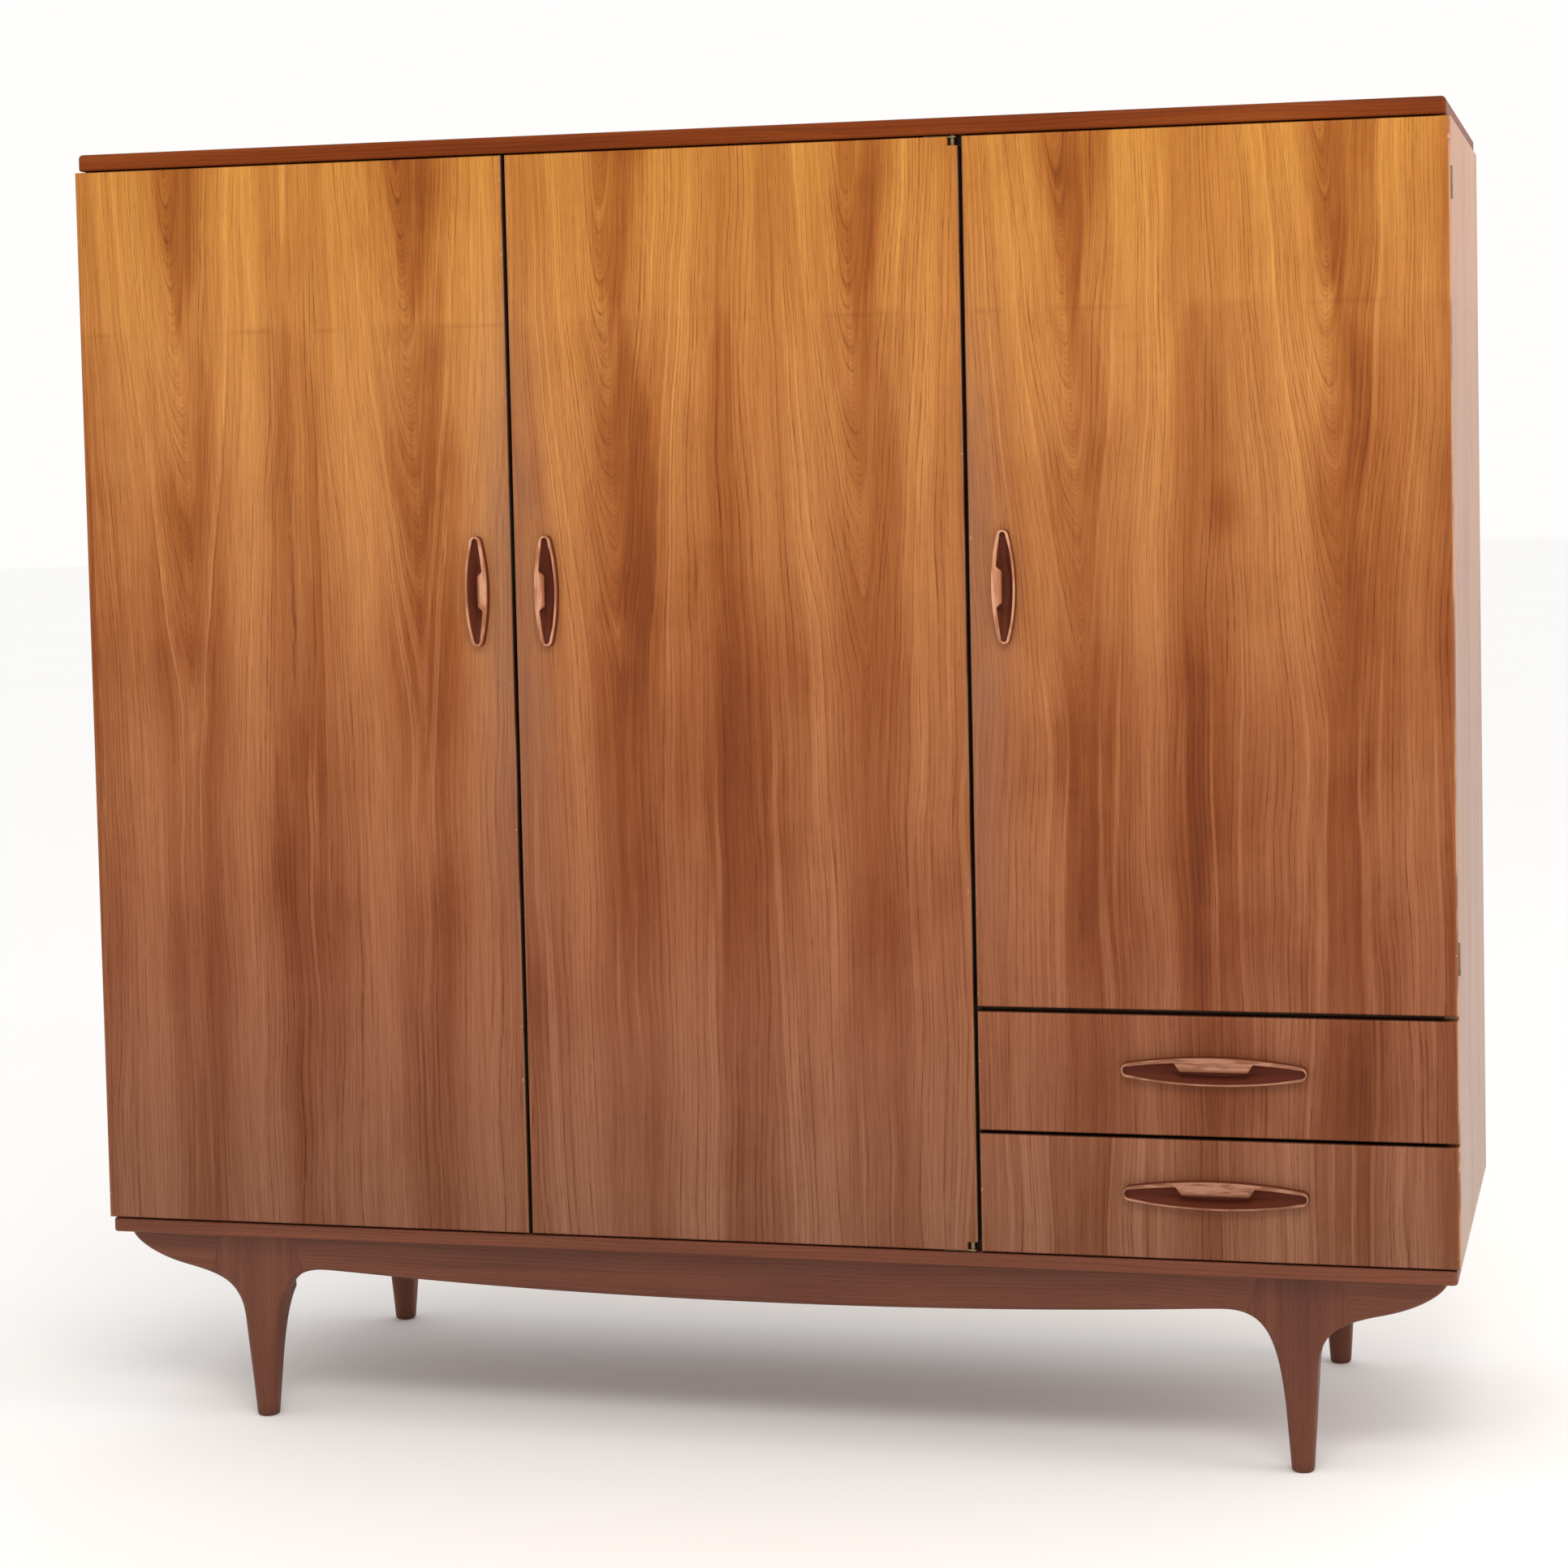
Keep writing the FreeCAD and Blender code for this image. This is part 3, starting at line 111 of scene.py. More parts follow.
class Finish:
    """A material being written: each method adds a node and gives back its output socket."""

    def __init__(self, name, **shader_numbers):
        self.material = bpy.data.materials.new(name)
        self.material.use_nodes = True
        self.nodes = self.material.node_tree.nodes
        self.links = self.material.node_tree.links
        self.shader = self.nodes["Principled BSDF"]
        for socket, value in shader_numbers.items():
            self.shader.inputs[socket.replace("_", " ")].default_value = value

    def feed(self, socket, value):
        if isinstance(value, bpy.types.NodeSocket):
            self.links.new(value, socket)
        else:
            socket.default_value = value

    def add(self, kind, *values, **settings):
        node = self.nodes.new("ShaderNode" + kind)
        for key, value in settings.items():
            setattr(node, key, value)
        for socket, value in zip(node.inputs, values):
            if value is not None:
                self.feed(socket, value)
        return node

    def place(self):
        """The object coordinates, as three sockets."""
        coordinates = self.add("TexCoord").outputs["Object"]
        return self.add("SeparateXYZ", coordinates).outputs[:]

    def vector(self, *parts):
        return self.add("CombineXYZ", *parts).outputs[0]

    def math(self, operation, *values):
        return self.add("Math", *values, operation=operation).outputs[0]

    def sum(self, *values):
        return reduce(lambda first, second: self.math("ADD", first, second), values)

    def product(self, *values):
        return reduce(lambda first, second: self.math("MULTIPLY", first, second), values)

    def apart(self, first, second):
        """How far two values are from each other."""
        return self.math("ABSOLUTE", self.math("SUBTRACT", first, second))

    def from_ends(self, value, ends):
        """How far a value is from the nearer of two ends."""
        return self.math("MINIMUM", self.apart(value, ends[0]), self.apart(value, ends[1]))

    def scaled(self, value, factor, offset=0.0):
        return self.math("MULTIPLY_ADD", value, factor, offset)

    def noise(self, vector, detail=2.0):
        """Smooth noise about 0.5, with cells one unit across."""
        node = self.add("TexNoise", vector, noise_dimensions="3D")
        for socket, value in (("Scale", 1.0), ("Detail", detail), ("Roughness", 0.5)):
            node.inputs[socket].default_value = value
        return node.outputs[0]

    def cells(self, parts, per_metre, detail=2.0):
        """Noise with that many cells to the metre along each of three coordinates."""
        return self.noise(self.vector(*map(self.scaled, parts, per_metre)), detail)

    def step(self, value, start, end, to_low=0.0, to_high=1.0, linear=False):
        """A smooth step from to_low to to_high while the value goes from start to end."""
        kind = "LINEAR" if linear else "SMOOTHSTEP"
        node = self.add("MapRange", value, start, end, to_low, to_high, interpolation_type=kind)
        return node.outputs[0]

    def ramp(self, value, stops, way="LINEAR"):
        """A colour for each position: stops are (position, (r, g, b))."""
        node = self.add("ValToRGB", value)
        node.color_ramp.interpolation = way
        elements = node.color_ramp.elements
        while len(elements) < len(stops):
            elements.new(0.5)
        for element, (position, colour) in zip(elements, stops):
            element.position = position
            element.color = (*colour, 1)
        return node.outputs[0]

    def mix(self, factor, first, second, blend="MIX"):
        node = self.add("Mix", data_type="RGBA", blend_type=blend)
        self.feed(node.inputs[MIX_FACTOR], factor)
        for index, colour in ((MIX_FIRST, first), (MIX_SECOND, second)):
            self.feed(node.inputs[index], (*colour, 1) if isinstance(colour, tuple) else colour)
        return node.outputs[MIX_RESULT]

    def shade(self, colour, amount, tint=(1.0, 1.0, 1.0)):
        """The colour darkened by an amount from 0 to 1, each of its three parts by its share."""
        kept = self.vector(*[self.scaled(amount, -share, 1.0) for share in tint])
        return self.mix(1.0, colour, kept, "MULTIPLY")

    def lines(self, value, pitch, share):
        """A dark line in each pitch of the value, over that share of it."""
        part = self.math("FRACT", self.math("DIVIDE", value, pitch))
        return self.step(self.apart(part, 0.5), share, 0.0)

    def finish(self, colour, roughness, height, depth):
        """Wires colour, roughness and a bump whose height socket spans the depth in metres."""
        self.feed(self.shader.inputs["Base Color"], colour)
        self.feed(self.shader.inputs["Roughness"], roughness)
        bump = self.add("Bump")
        bump.inputs["Strength"].default_value = 1.0
        bump.inputs["Distance"].default_value = depth
        self.feed(bump.inputs["Height"], height)
        self.feed(self.shader.inputs["Normal"], bump.outputs[0])
        return self.material

    def finish_wood(self, colour, roughness, figure, depth=GRAIN_DEPTH):
        """The same for wood, whose fine dark lines lie deeper than the rest."""
        return self.finish(colour, roughness, self.scaled(figure, -1.0, 1.0), depth)


# ------------ teak veneer

LEAF_WIDTH = 0.343
LEAF_CHANGE = 0.16  # how much the noise moves on from one leaf to the next
FLAME_LINE = 0.146  # where the flames stand, from a leaf's left edge
FLAME_TIP = 0.0045  # how blunt the flames' points are
FLAME_REACH = 0.115  # how far from their line the rings still bend upwards
RING_PITCH = 0.0074
HAIRS_PER_RING = 3.7
CREASE = DOOR_TOP - 0.229  # the faint crossways line
HAND_HEIGHT = 1.14
FIGURE_DEPTH = 0.16 * MM

# a rim this far out has nothing facing it, and gets no painted shade
OPEN_AIR = (0.945, 0.930)

LIPPING_TEAK = (0.30, 0.125, 0.050)
# pale teak for worn chips and for the painted highlight along the arris
WORN_AND_HIGHLIT_TEAK = (0.560, 0.330, 0.200)
DULLED_TEAK = (0.205, 0.105, 0.072)
# painted shade for the rims in the gaps between the fronts
GAP_PAINTED_SHADE = (0.020, 0.006, 0.003)

VENEER_TONES = [
    (0.00, (0.545, 0.228, 0.048)),
    (0.25, (0.482, 0.190, 0.038)),
    (0.50, (0.405, 0.142, 0.026)),
    (0.75, (0.322, 0.094, 0.013)),
    (1.00, (0.225, 0.055, 0.006)),
]

# tone over a leaf from its left edge to its right
LEAF_BANDS = [
    (0.00, 0.46), (0.09, 0.36), (0.20, 0.16), (0.31, 0.20), (0.43, 0.44), (0.55, 0.38),
    (0.66, 0.14), (0.74, 0.20), (0.82, 0.44), (1.00, 0.40),
]

# dark flames in a leaf: middle across the leaf, half width, height of the point, height where it
# is full, strength
FLAMES = [
    (0.142, 0.050, CREASE - 0.06, DOOR_TOP + 0.06, 0.34),
    (0.158, 0.062, CREASE + 0.03, CREASE - 0.26, 0.15),
    (0.305, 0.046, CREASE + 0.04, CREASE - 0.17, 0.17),
]

# painted light on the veneer's colour, from the doors' foot to their top: painted shade and a
# bluish painted reflection towards the foot, slightly lighter at the top
PAINTED_LIGHT_FOOT_TO_TOP = [
    (0.00, (0.475, 0.490, 1.360)),
    (0.25, (0.600, 0.545, 1.200)),
    (0.52, (0.790, 0.745, 1.260)),
    (0.78, (1.040, 1.070, 1.360)),
    (1.00, (1.060, 1.120, 0.990)),
]

# painted shade on the sides' veneer, darker and greyer towards the foot
SIDE_PAINTED_LIGHT = [(0.0, (0.60, 0.61, 0.98)), (0.5, (0.68, 0.69, 0.98)), (1.0, (0.98, 0.95, 1.00))]

# darker clouds in each front: middle across and up, half width, half height, strength
CLOUDS = {
    "left_door_panel": [
        (-0.86, 1.16, 0.10, 0.34, 0.12), (-0.49, 1.04, 0.13, 0.20, 0.14),
        (-0.65, 0.78, 0.12, 0.16, 0.08),
    ],
    "middle_door_panel": [
        (-0.05, 0.96, 0.20, 0.30, 0.30), (-0.11, 1.32, 0.10, 0.28, 0.26),
        (0.16, 1.60, 0.09, 0.16, 0.10), (0.02, 0.50, 0.30, 0.26, -0.16),
    ],
    "right_door_panel": [
        (0.39, 1.30, 0.07, 0.30, 0.16), (0.88, 1.28, 0.10, 0.56, 0.26),
        (0.66, 1.27, 0.03, 0.05, 0.26), (0.62, 0.90, 0.27, 0.26, 0.26),
        (0.66, 0.68, 0.34, 0.12, 0.16),
    ],
    "upper_drawer_front": [(0.80, 0.53, 0.20, 0.12, 0.16), (0.50, 0.52, 0.24, 0.16, 0.14)],
    "lower_drawer_front": [(0.88, 0.37, 0.12, 0.12, 0.12)],
}


class Veneer(Finish):
    """Flat-cut teak veneer in slip-matched leaves, its grain upright."""

    def __init__(self, name, across_axis, leaf_start, seed, shine):
        super().__init__(name, Specular_IOR_Level=shine)
        parts = self.place()
        self.x, self.y, self.z = parts[across_axis], parts[Y], parts[Z]
        self.seed = seed
        leaves = self.math("DIVIDE", self.math("SUBTRACT", self.x, leaf_start), LEAF_WIDTH)
        leaf = self.math("FLOOR", leaves)
        self.across = self.scaled(self.math("SUBTRACT", leaves, leaf), LEAF_WIDTH)
        self.page = self.scaled(leaf, LEAF_CHANGE, seed)
        self.bent = self.sum(self.across, self.scaled(self.on_leaf(4.0, 1.9), 0.060, -0.030))
        self.from_flame = self.math("SUBTRACT", self.bent, FLAME_LINE)
        self.ring = self.rings()

    def drawn(self, value, page, per_width, per_height, detail):
        start, height = self.scaled(value, per_width), self.scaled(self.z, per_height)
        return self.noise(self.vector(start, page, height), detail)

    def on_leaf(self, per_width, per_height, detail=2.0):
        """Noise drawn on the leaf: how many cells to the metre across it and up it."""
        return self.drawn(self.across, self.page, per_width, per_height, detail)

    def on_rings(self, per_ring, per_height, detail=2.0):
        """Noise that follows the rings: how many cells to the metre across them and up the leaf."""
        return self.drawn(self.ring, self.page, per_ring, per_height, detail)

    def on_front(self, per_width, per_height, detail=2.0):
        """Noise drawn over the whole front, whatever the leaves."""
        return self.drawn(self.x, self.seed, per_width, per_height, detail)

    def rings(self):
        """A measure that is equal all along each growth ring. The rings bend upwards about the
        flames' line, the more so the higher they are."""
        square = self.product(self.from_flame, self.from_flame)
        hollow = self.math("SQRT", self.sum(square, FLAME_TIP**2))
        rise = self.product(
            self.step(self.z, DOOR_TOP - 0.85, DOOR_TOP + 0.15, 0.0, 0.150),
            self.step(self.from_flame, -0.03, 0.03, 1.25, 0.60),
        )
        bell = self.math("EXPONENT", self.scaled(square, -1 / FLAME_REACH**2))
        ripple = self.scaled(self.on_leaf(14.0, 3.2, 4.0), 0.013, -0.0065)
        return self.sum(hollow, self.scaled(self.product(rise, bell), -1.0), ripple)

    def tone(self, flames, clouds):
        """The wood's tone, from 0 for golden to 1 for dark."""
        greys = [(at, (grey, grey, grey)) for at, grey in LEAF_BANDS]
        gleam = self.step(self.on_rings(52.0, 0.9), 0.58, 0.67)
        tone = self.sum(
            self.ramp(self.scaled(self.bent, 1 / LEAF_WIDTH), greys, "B_SPLINE"),
            self.scaled(self.on_rings(24.0, 1.5, 4.0), 0.78, -0.40),
            self.scaled(self.on_rings(110.0, 2.0), 0.48, -0.24),
            self.scaled(gleam, -0.26), 0.04,
        )
        feather = self.scaled(self.on_leaf(62.0, 3.2, 3.0), 0.056, -0.028)
        for centre, half, point, full, strength in flames:
            width = self.scaled(self.step(self.z, point, full, 0.10, 1.0), half)
            away = self.sum(self.apart(self.bent, centre), feather)
            begun = self.step(self.z, point, point + (full - point) * 0.30)
            inside = self.step(self.math("DIVIDE", away, width), 1.45, 0.35)
            tone = self.sum(tone, self.scaled(self.product(inside, begun), strength))
        ragged = self.on_front(13.0, 5.0, 4.0)
        for cloud_x, cloud_z, half_width, half_height, strength in clouds:
            from_cloud = self.add("VectorMath", self.vector(
                self.scaled(self.x, 1 / half_width, -cloud_x / half_width), 0.0,
                self.scaled(self.z, 1 / half_height, -cloud_z / half_height),
            ), operation="LENGTH").outputs["Value"]
            inside = self.step(self.sum(from_cloud, self.scaled(ragged, 1.6, -0.8)), 1.25, 0.10)
            tone = self.sum(tone, self.scaled(inside, strength))
        smudge = self.step(self.on_front(5.0, 3.6, 4.0), 0.48, 0.76)
        return self.sum(tone, self.scaled(smudge, 0.22))

    def figure(self):
        """The fine dark lines: rings, hair lines between them, fibres and pores."""
        uneven = self.sum(self.ring, self.scaled(self.on_rings(26.0, 0.5, 3.0), 0.034))
        strength = self.product(
            self.step(self.on_rings(60.0, 1.6), 0.36, 0.66, 0.20, 1.0),
            self.step(self.math("ABSOLUTE", self.from_flame), 0.003, 0.024, 0.12, 1.0),
        )
        broken = self.step(self.on_front(260.0, 30.0), 0.30, 0.62, 0.45, 1.0)
        ring_line = self.product(self.lines(uneven, RING_PITCH, 0.20), strength, broken)
        hair_line = self.product(self.lines(uneven, RING_PITCH / HAIRS_PER_RING, 0.32), broken)
        fibre = self.drawn(self.x, self.page, 430.0, 8.0, 4.0)
        pores = self.step(self.on_front(1000.0, 45.0, 1.0), 0.54, 0.70)
        return self.sum(
            self.scaled(ring_line, 0.50), self.scaled(hair_line, 0.20),
            self.scaled(fibre, 0.66, -0.33), self.scaled(pores, 0.15),
        )

    def creased(self, colour):
        """The faint line across the leaves and the darker wood that fades out below it."""
        height = self.sum(self.z, self.scaled(self.on_front(6.0, 0.0), 0.006, -0.003))
        line = self.product(
            self.step(self.apart(height, CREASE), 0.0055, 0.0),
            self.step(self.on_leaf(9.0, 0.0), 0.44, 0.64),
        )
        below = self.product(
            self.step(height, CREASE + 0.016, CREASE - 0.010),
            self.step(self.on_front(7.0, 0.0, 3.0), 0.42, 0.60),
            self.step(self.z, CREASE - 0.42, CREASE - 0.10),
        )
        darkening = self.sum(self.scaled(line, 0.15), self.scaled(below, 0.14))
        return self.shade(colour, darkening, (0.75, 1.0, 1.05))

    def handled(self, colour, edge):
        """Dulled where hands reach for a door, along the edge that it is opened by."""
        dulled = self.product(
            self.step(self.apart(self.x, edge), 0.085, 0.0),
            self.step(self.apart(self.z, HAND_HEIGHT), 0.62, 0.10),
            self.step(self.on_front(22.0, 9.0, 3.0), 0.25, 0.70, 0.5, 1.0),
        )
        return self.mix(self.scaled(dulled, 0.46), colour, DULLED_TEAK)

    def edged(self, colour, from_edge):
        """Solid lippings at the panel's two side edges, chipped along the arris and pale along it,
        partly from wear and partly as a painted highlight.
        """
        lipping = self.step(from_edge, 0.0042, 0.0034)
        colour = self.mix(self.scaled(lipping, 0.30), colour, LIPPING_TEAK)
        # pale along the arris: partly wear, partly a painted highlight
        rubbed_and_highlit = self.product(
            self.step(from_edge, 0.0017, 0.0008),
            self.step(self.on_front(6.0, 9.0, 3.0), 0.36, 0.56),
        )
        chipped = self.product(
            self.step(from_edge, 0.0060, 0.0010),
            self.step(self.on_front(170.0, 90.0), 0.68, 0.73),
        )
        pale = self.math("MAXIMUM", self.scaled(rubbed_and_highlit, 0.55), self.scaled(chipped, 0.75))
        return self.mix(pale, colour, WORN_AND_HIGHLIT_TEAK)

    def gap_shaded(self, colour, from_edge, ends, face):
        """Painted shade on the narrow rim that faces the next front, deeper in than the face, where
        the gap between the fronts lies in shade.
        """
        from_rim = self.math("MINIMUM", from_edge, self.from_ends(self.z, ends))
        painted_gap_shade = self.product(
            self.step(from_rim, 0.0015, 0.0007),
            self.step(self.math("SUBTRACT", self.y, face), 0.0002, 0.0045, 0.45, 1.0),
            self.step(self.math("ABSOLUTE", self.x), *OPEN_AIR),
        )
        return self.mix(self.scaled(painted_gap_shade, 0.90), colour, GAP_PAINTED_SHADE)


def veneer(
    name, across_axis, leaf_start, seed, edges, touched=None, flames=FLAMES, clouds=(),
    painted_light=PAINTED_LIGHT_FOOT_TO_TOP, shine=0.14, gloss=0.36, ends=None, face=None,
):
    """The veneer of one panel between two side edges. A front also has its two ends, up and down,
    and the place of its face; a door has the edge that it is touched at."""
    f = Veneer(name, across_axis, leaf_start, seed, shine)
    figure = f.figure()
    colour = f.shade(f.ramp(f.tone(flames, clouds), VENEER_TONES), figure, (0.80, 1.0, 1.15))
    colour = f.creased(colour)
    # painted light: painted shade and a bluish painted reflection towards the foot
    painted_light_tint = f.ramp(f.step(f.z, DOOR_FOOT, DOOR_TOP, linear=True), painted_light)
    colour = f.mix(1.0, colour, painted_light_tint, "MULTIPLY")
    if touched is not None:
        colour = f.handled(colour, touched)
    from_edge = f.from_ends(f.x, edges)
    colour = f.edged(colour, from_edge)
    # painted shade on the rims that face the gaps between the fronts
    if ends is not None:
        colour = f.gap_shaded(colour, from_edge, ends, face)
    roughness = f.sum(f.scaled(f.on_front(1.0, 1.3, 3.0), 0.14, gloss), f.scaled(figure, 0.25))
    return f.finish_wood(colour, roughness, figure, FIGURE_DEPTH)


# ------------ solid woods and panels

HEART = (0.045, 0.070)  # how far off the tree's heart is taken to be, along the two short ways
EDGE_TEAK = (0.080, 0.028, 0.012)
# dark colour down in the pulls' cups: old oil and painted shade
OLD_OIL_AND_CUP_SHADE = (0.105, 0.020, 0.009)
BLOCK_WIDTH = 79 * MM  # from a leg's middle to the slanted joint with the apron
BLOCK_SLANT = 0.30


def timber(f, along, parts, tones, seed, pitch, contrast):
    """Colour and figure of solid timber: rings about a distant heart that runs along one axis, cut
    through by fibres and pores."""
    length = parts[along]
    short = [part for axis, part in enumerate(parts) if axis != along]
    turned = (*short, length)

    def from_heart(part, page, off):
        bow = f.noise(f.vector(f.scaled(length, 2.2), page, f.scaled(part, 3.0)))
        return f.sum(part, f.scaled(bow, 0.024, -0.012), off)

    def on_rings(measure, per_ring, per_length, detail=2.0):
        return f.noise(
            f.vector(f.scaled(measure, per_ring), seed, f.scaled(length, per_length)), detail
        )

    away = [from_heart(part, seed + k * 7, HEART[k]) for k, part in enumerate(short)]
    distance = f.math("SQRT", f.sum(*[f.product(part, part) for part in away]))
    ring = f.sum(distance, f.scaled(on_rings(distance, 60.0, 0.6), 0.012))
    tone = f.sum(
        f.scaled(on_rings(ring, 55.0, 1.8, 4.0), contrast, 0.5 - contrast / 2),
        f.scaled(f.cells(turned, (9.0, 9.0, 3.0), 3.0), 0.6, -0.30),
    )
    strength = f.step(on_rings(ring, 70.0, 1.2), 0.35, 0.65, 0.2, 1.0)
    ring_line = f.product(f.lines(ring, pitch, 0.25), strength)
    fibre = f.cells(turned, (480.0, 480.0, 9.0), 3.0)
    pores = f.step(f.cells(turned, (1000.0, 1000.0, 42.0), 1.0), 0.56, 0.70)
    figure = f.sum(
        f.scaled(ring_line, 0.26 * contrast), f.scaled(fibre, 0.30 * contrast, -0.15 * contrast),
        f.scaled(pores, 0.16 * contrast),
    )
    return f.shade(f.ramp(tone, tones), figure), figure


def solid_wood(
    name, along, tones, seed, pitch=0.0045, gloss=0.42, contrast=1.0, shine=0.3, lipped=None,
):
    """Plain timber or veneered board. In front of the lipped depth it is edged in dark teak."""
    f = Finish(name, Specular_IOR_Level=shine)
    parts = f.place()
    colour, figure = timber(f, along, parts, tones, seed, pitch, contrast)
    if lipped is not None:
        in_front = f.step(parts[Y], lipped + 0.2 * MM, lipped - 0.2 * MM)
        colour = f.mix(in_front, colour, EDGE_TEAK)
    uneven = f.scaled(f.noise(f.vector(*parts)), 0.10, gloss - 0.05)
    roughness = f.sum(f.scaled(figure, 0.3), uneven)
    return f.finish_wood(colour, roughness, figure)


def base_wood(name, tones):
    """The base frames' teak: upright grain in each leg and the block above it, long grain in the
    apron between them and in the wings, jointed on a slant. It is darker at the joints and near
    the floor, with a painted shadow under the bottom board."""
    f = Finish(name, Specular_IOR_Level=0.25)
    parts = f.place()
    x, _, z = parts
    from_leg = f.apart(f.math("ABSOLUTE", x), LEG_MIDDLE)
    slant = f.sum(from_leg, f.scaled(z, BLOCK_SLANT, -BLOCK_SLANT * NECK))
    block = f.step(slant, BLOCK_WIDTH + 0.2 * MM, BLOCK_WIDTH - 0.2 * MM)
    upright, upright_figure = timber(f, Z, parts, tones, 8.0, 0.0040, 0.9)
    level, level_figure = timber(f, X, parts, tones, 5.0, 0.0048, 0.9)
    colour = f.mix(block, level, upright)
    change = f.math("SUBTRACT", upright_figure, level_figure)
    figure = f.sum(level_figure, f.product(block, change))
    joint = f.step(f.apart(slant, BLOCK_WIDTH), 0.8 * MM, 0.0)
    # painted shadow along the apron's top, under the bottom board
    painted_shadow_under_board = f.step(z, BASE_TOP - 5 * MM, BASE_TOP - 3 * MM)
    heel = f.step(z, 20 * MM, 0.0)
    joint_foot_and_painted_shadow = f.sum(f.scaled(joint, 0.25), f.scaled(painted_shadow_under_board, 0.78), f.scaled(heel, 0.22))
    colour = f.shade(colour, joint_foot_and_painted_shadow)
    return f.finish_wood(colour, f.scaled(figure, 0.3, 0.44), figure)


def pull_wood(name, along, front, tones, rim_wear_and_highlight_colour):
    """The pulls' teak: pale on the rim, partly worn and partly a painted highlight; dark down in
    the cup, partly old oil and partly painted shade.
    """
    f = Finish(name, Specular_IOR_Level=0.10)
    parts = f.place()
    colour, figure = timber(f, along, parts, tones, 41.0, 0.0030, 1.0)
    depth = f.math("SUBTRACT", parts[Y], front)
    rim_streaks = f.cells(parts, [28.0 if axis == along else 240.0 for axis in (X, Y, Z)], 3.0)
    # pale rim: partly wear, partly a painted highlight
    worn_and_highlit = f.product(f.step(depth, 1.3 * MM, 0.2 * MM), f.step(rim_streaks, 0.40, 0.60, 0.05, 1.0))
    colour = f.mix(f.scaled(worn_and_highlit, 0.60), colour, rim_wear_and_highlight_colour)
    # dark cup: partly old oil, partly painted shade in the recess
    stained_and_shaded = f.step(depth, 1 * MM, 6 * MM)
    colour = f.mix(f.scaled(stained_and_shaded, 0.94), colour, OLD_OIL_AND_CUP_SHADE)
    roughness = f.sum(f.scaled(figure, 0.3), f.scaled(stained_and_shaded, 0.26, 0.30))
    return f.finish_wood(colour, roughness, figure)


# each wood's colours from its lightest tone to its darkest
TONES = {
    "board": ((0.290, 0.070, 0.011), (0.175, 0.033, 0.004), (0.085, 0.012, 0.001)),
    "sill": ((0.210, 0.062, 0.028), (0.150, 0.041, 0.018), (0.090, 0.022, 0.010)),
    "base": ((0.200, 0.070, 0.033), (0.132, 0.040, 0.020), (0.070, 0.018, 0.010)),
    # the door pulls' teak is painted lighter as painted light, the drawer pulls' darker as painted
    # shade
    "door_pull": ((0.520, 0.215, 0.108), (0.370, 0.138, 0.066), (0.210, 0.066, 0.030)),
    "drawer_pull": ((0.350, 0.150, 0.084), (0.240, 0.092, 0.048), (0.130, 0.042, 0.021)),
    "inside": ((0.520, 0.290, 0.130), (0.430, 0.222, 0.092), (0.310, 0.146, 0.058)),
    "beech": ((0.640, 0.440, 0.265), (0.560, 0.365, 0.208), (0.440, 0.265, 0.140)),
    "plywood": ((0.600, 0.420, 0.240), (0.510, 0.340, 0.180), (0.360, 0.220, 0.108)),
}
TONES = {wood: list(zip((0.0, 0.5, 1.0), colours)) for wood, colours in TONES.items()}


def metal(name, colour, dull, roughness):
    """Metal with darker tarnish in patches and fine brushing."""
    f = Finish(name, Metallic=1.0)
    parts = f.place()
    patches = f.step(f.cells(parts, (60.0, 60.0, 60.0), 3.0), 0.40, 0.80)
    brushing = f.cells(parts, (1400.0, 1400.0, 260.0))
    tinted = f.mix(f.scaled(patches, 0.8), colour, dull)
    rough = f.sum(f.scaled(patches, 0.22, roughness), f.scaled(brushing, 0.12, -0.06))
    return f.finish(tinted, rough, brushing, 0.03 * MM)


def moulded_plastic(name, colour, roughness):
    """Moulded plastic with a fine satin grain."""
    f = Finish(name)
    grain = f.cells(f.place(), (900.0, 900.0, 900.0))
    shade = f.shade(colour, f.scaled(grain, 0.12))
    return f.finish(shade, f.scaled(grain, 0.15, roughness), grain, 0.05 * MM)


def floor_surface(name, colour, roughness):
    """One pale colour with the faintest unevenness."""
    f = Finish(name)
    clouds = f.cells(f.place(), (0.7, 0.7, 0.7))
    return f.finish(f.shade(colour, f.scaled(clouds, 0.02)), roughness, clouds, 0.1 * MM)


# ------------ making and dressing pieces

SHARP_ANGLE = math.radians(38)
SAME_PLACE = 1e-7


def coat(obj, material):
    obj.data.materials.clear()
    obj.data.materials.append(material)


def put(name, data):
    obj = bpy.data.objects.new(name, data)
    bpy.context.scene.collection.objects.link(obj)
    return obj


def piece_from(name, points, faces, material, smooth=True):
    """A mesh object at the origin from points and faces, its faces made to point outwards."""
    mesh = bpy.data.meshes.new(name)
    mesh.from_pydata([tuple(p) for p in points], [], faces)
    shape = bmesh.new()
    shape.from_mesh(mesh)
    bmesh.ops.remove_doubles(shape, verts=shape.verts, dist=SAME_PLACE)
    bmesh.ops.recalc_face_normals(shape, faces=shape.faces)
    shape.to_mesh(mesh)
    shape.free()
    for face in mesh.polygons:
        face.use_smooth = smooth
    mesh.set_sharp_from_angle(angle=SHARP_ANGLE)
    obj = put(name, mesh)
    coat(obj, material)
    return obj


def rings_closed(rings):
    """Faces between closed rings of equal count, with a fan face over the first and the last."""
    count = len(rings[0])
    points = [point for ring in rings for point in ring]
    faces = [tuple(range(count)), tuple(range((len(rings) - 1) * count, len(rings) * count))]
    for k in range(len(rings) - 1):
        for i in range(count):
            j = (i + 1) % count
            faces.append((k * count + i, k * count + j, (k + 1) * count + j, (k + 1) * count + i))
    return points, faces


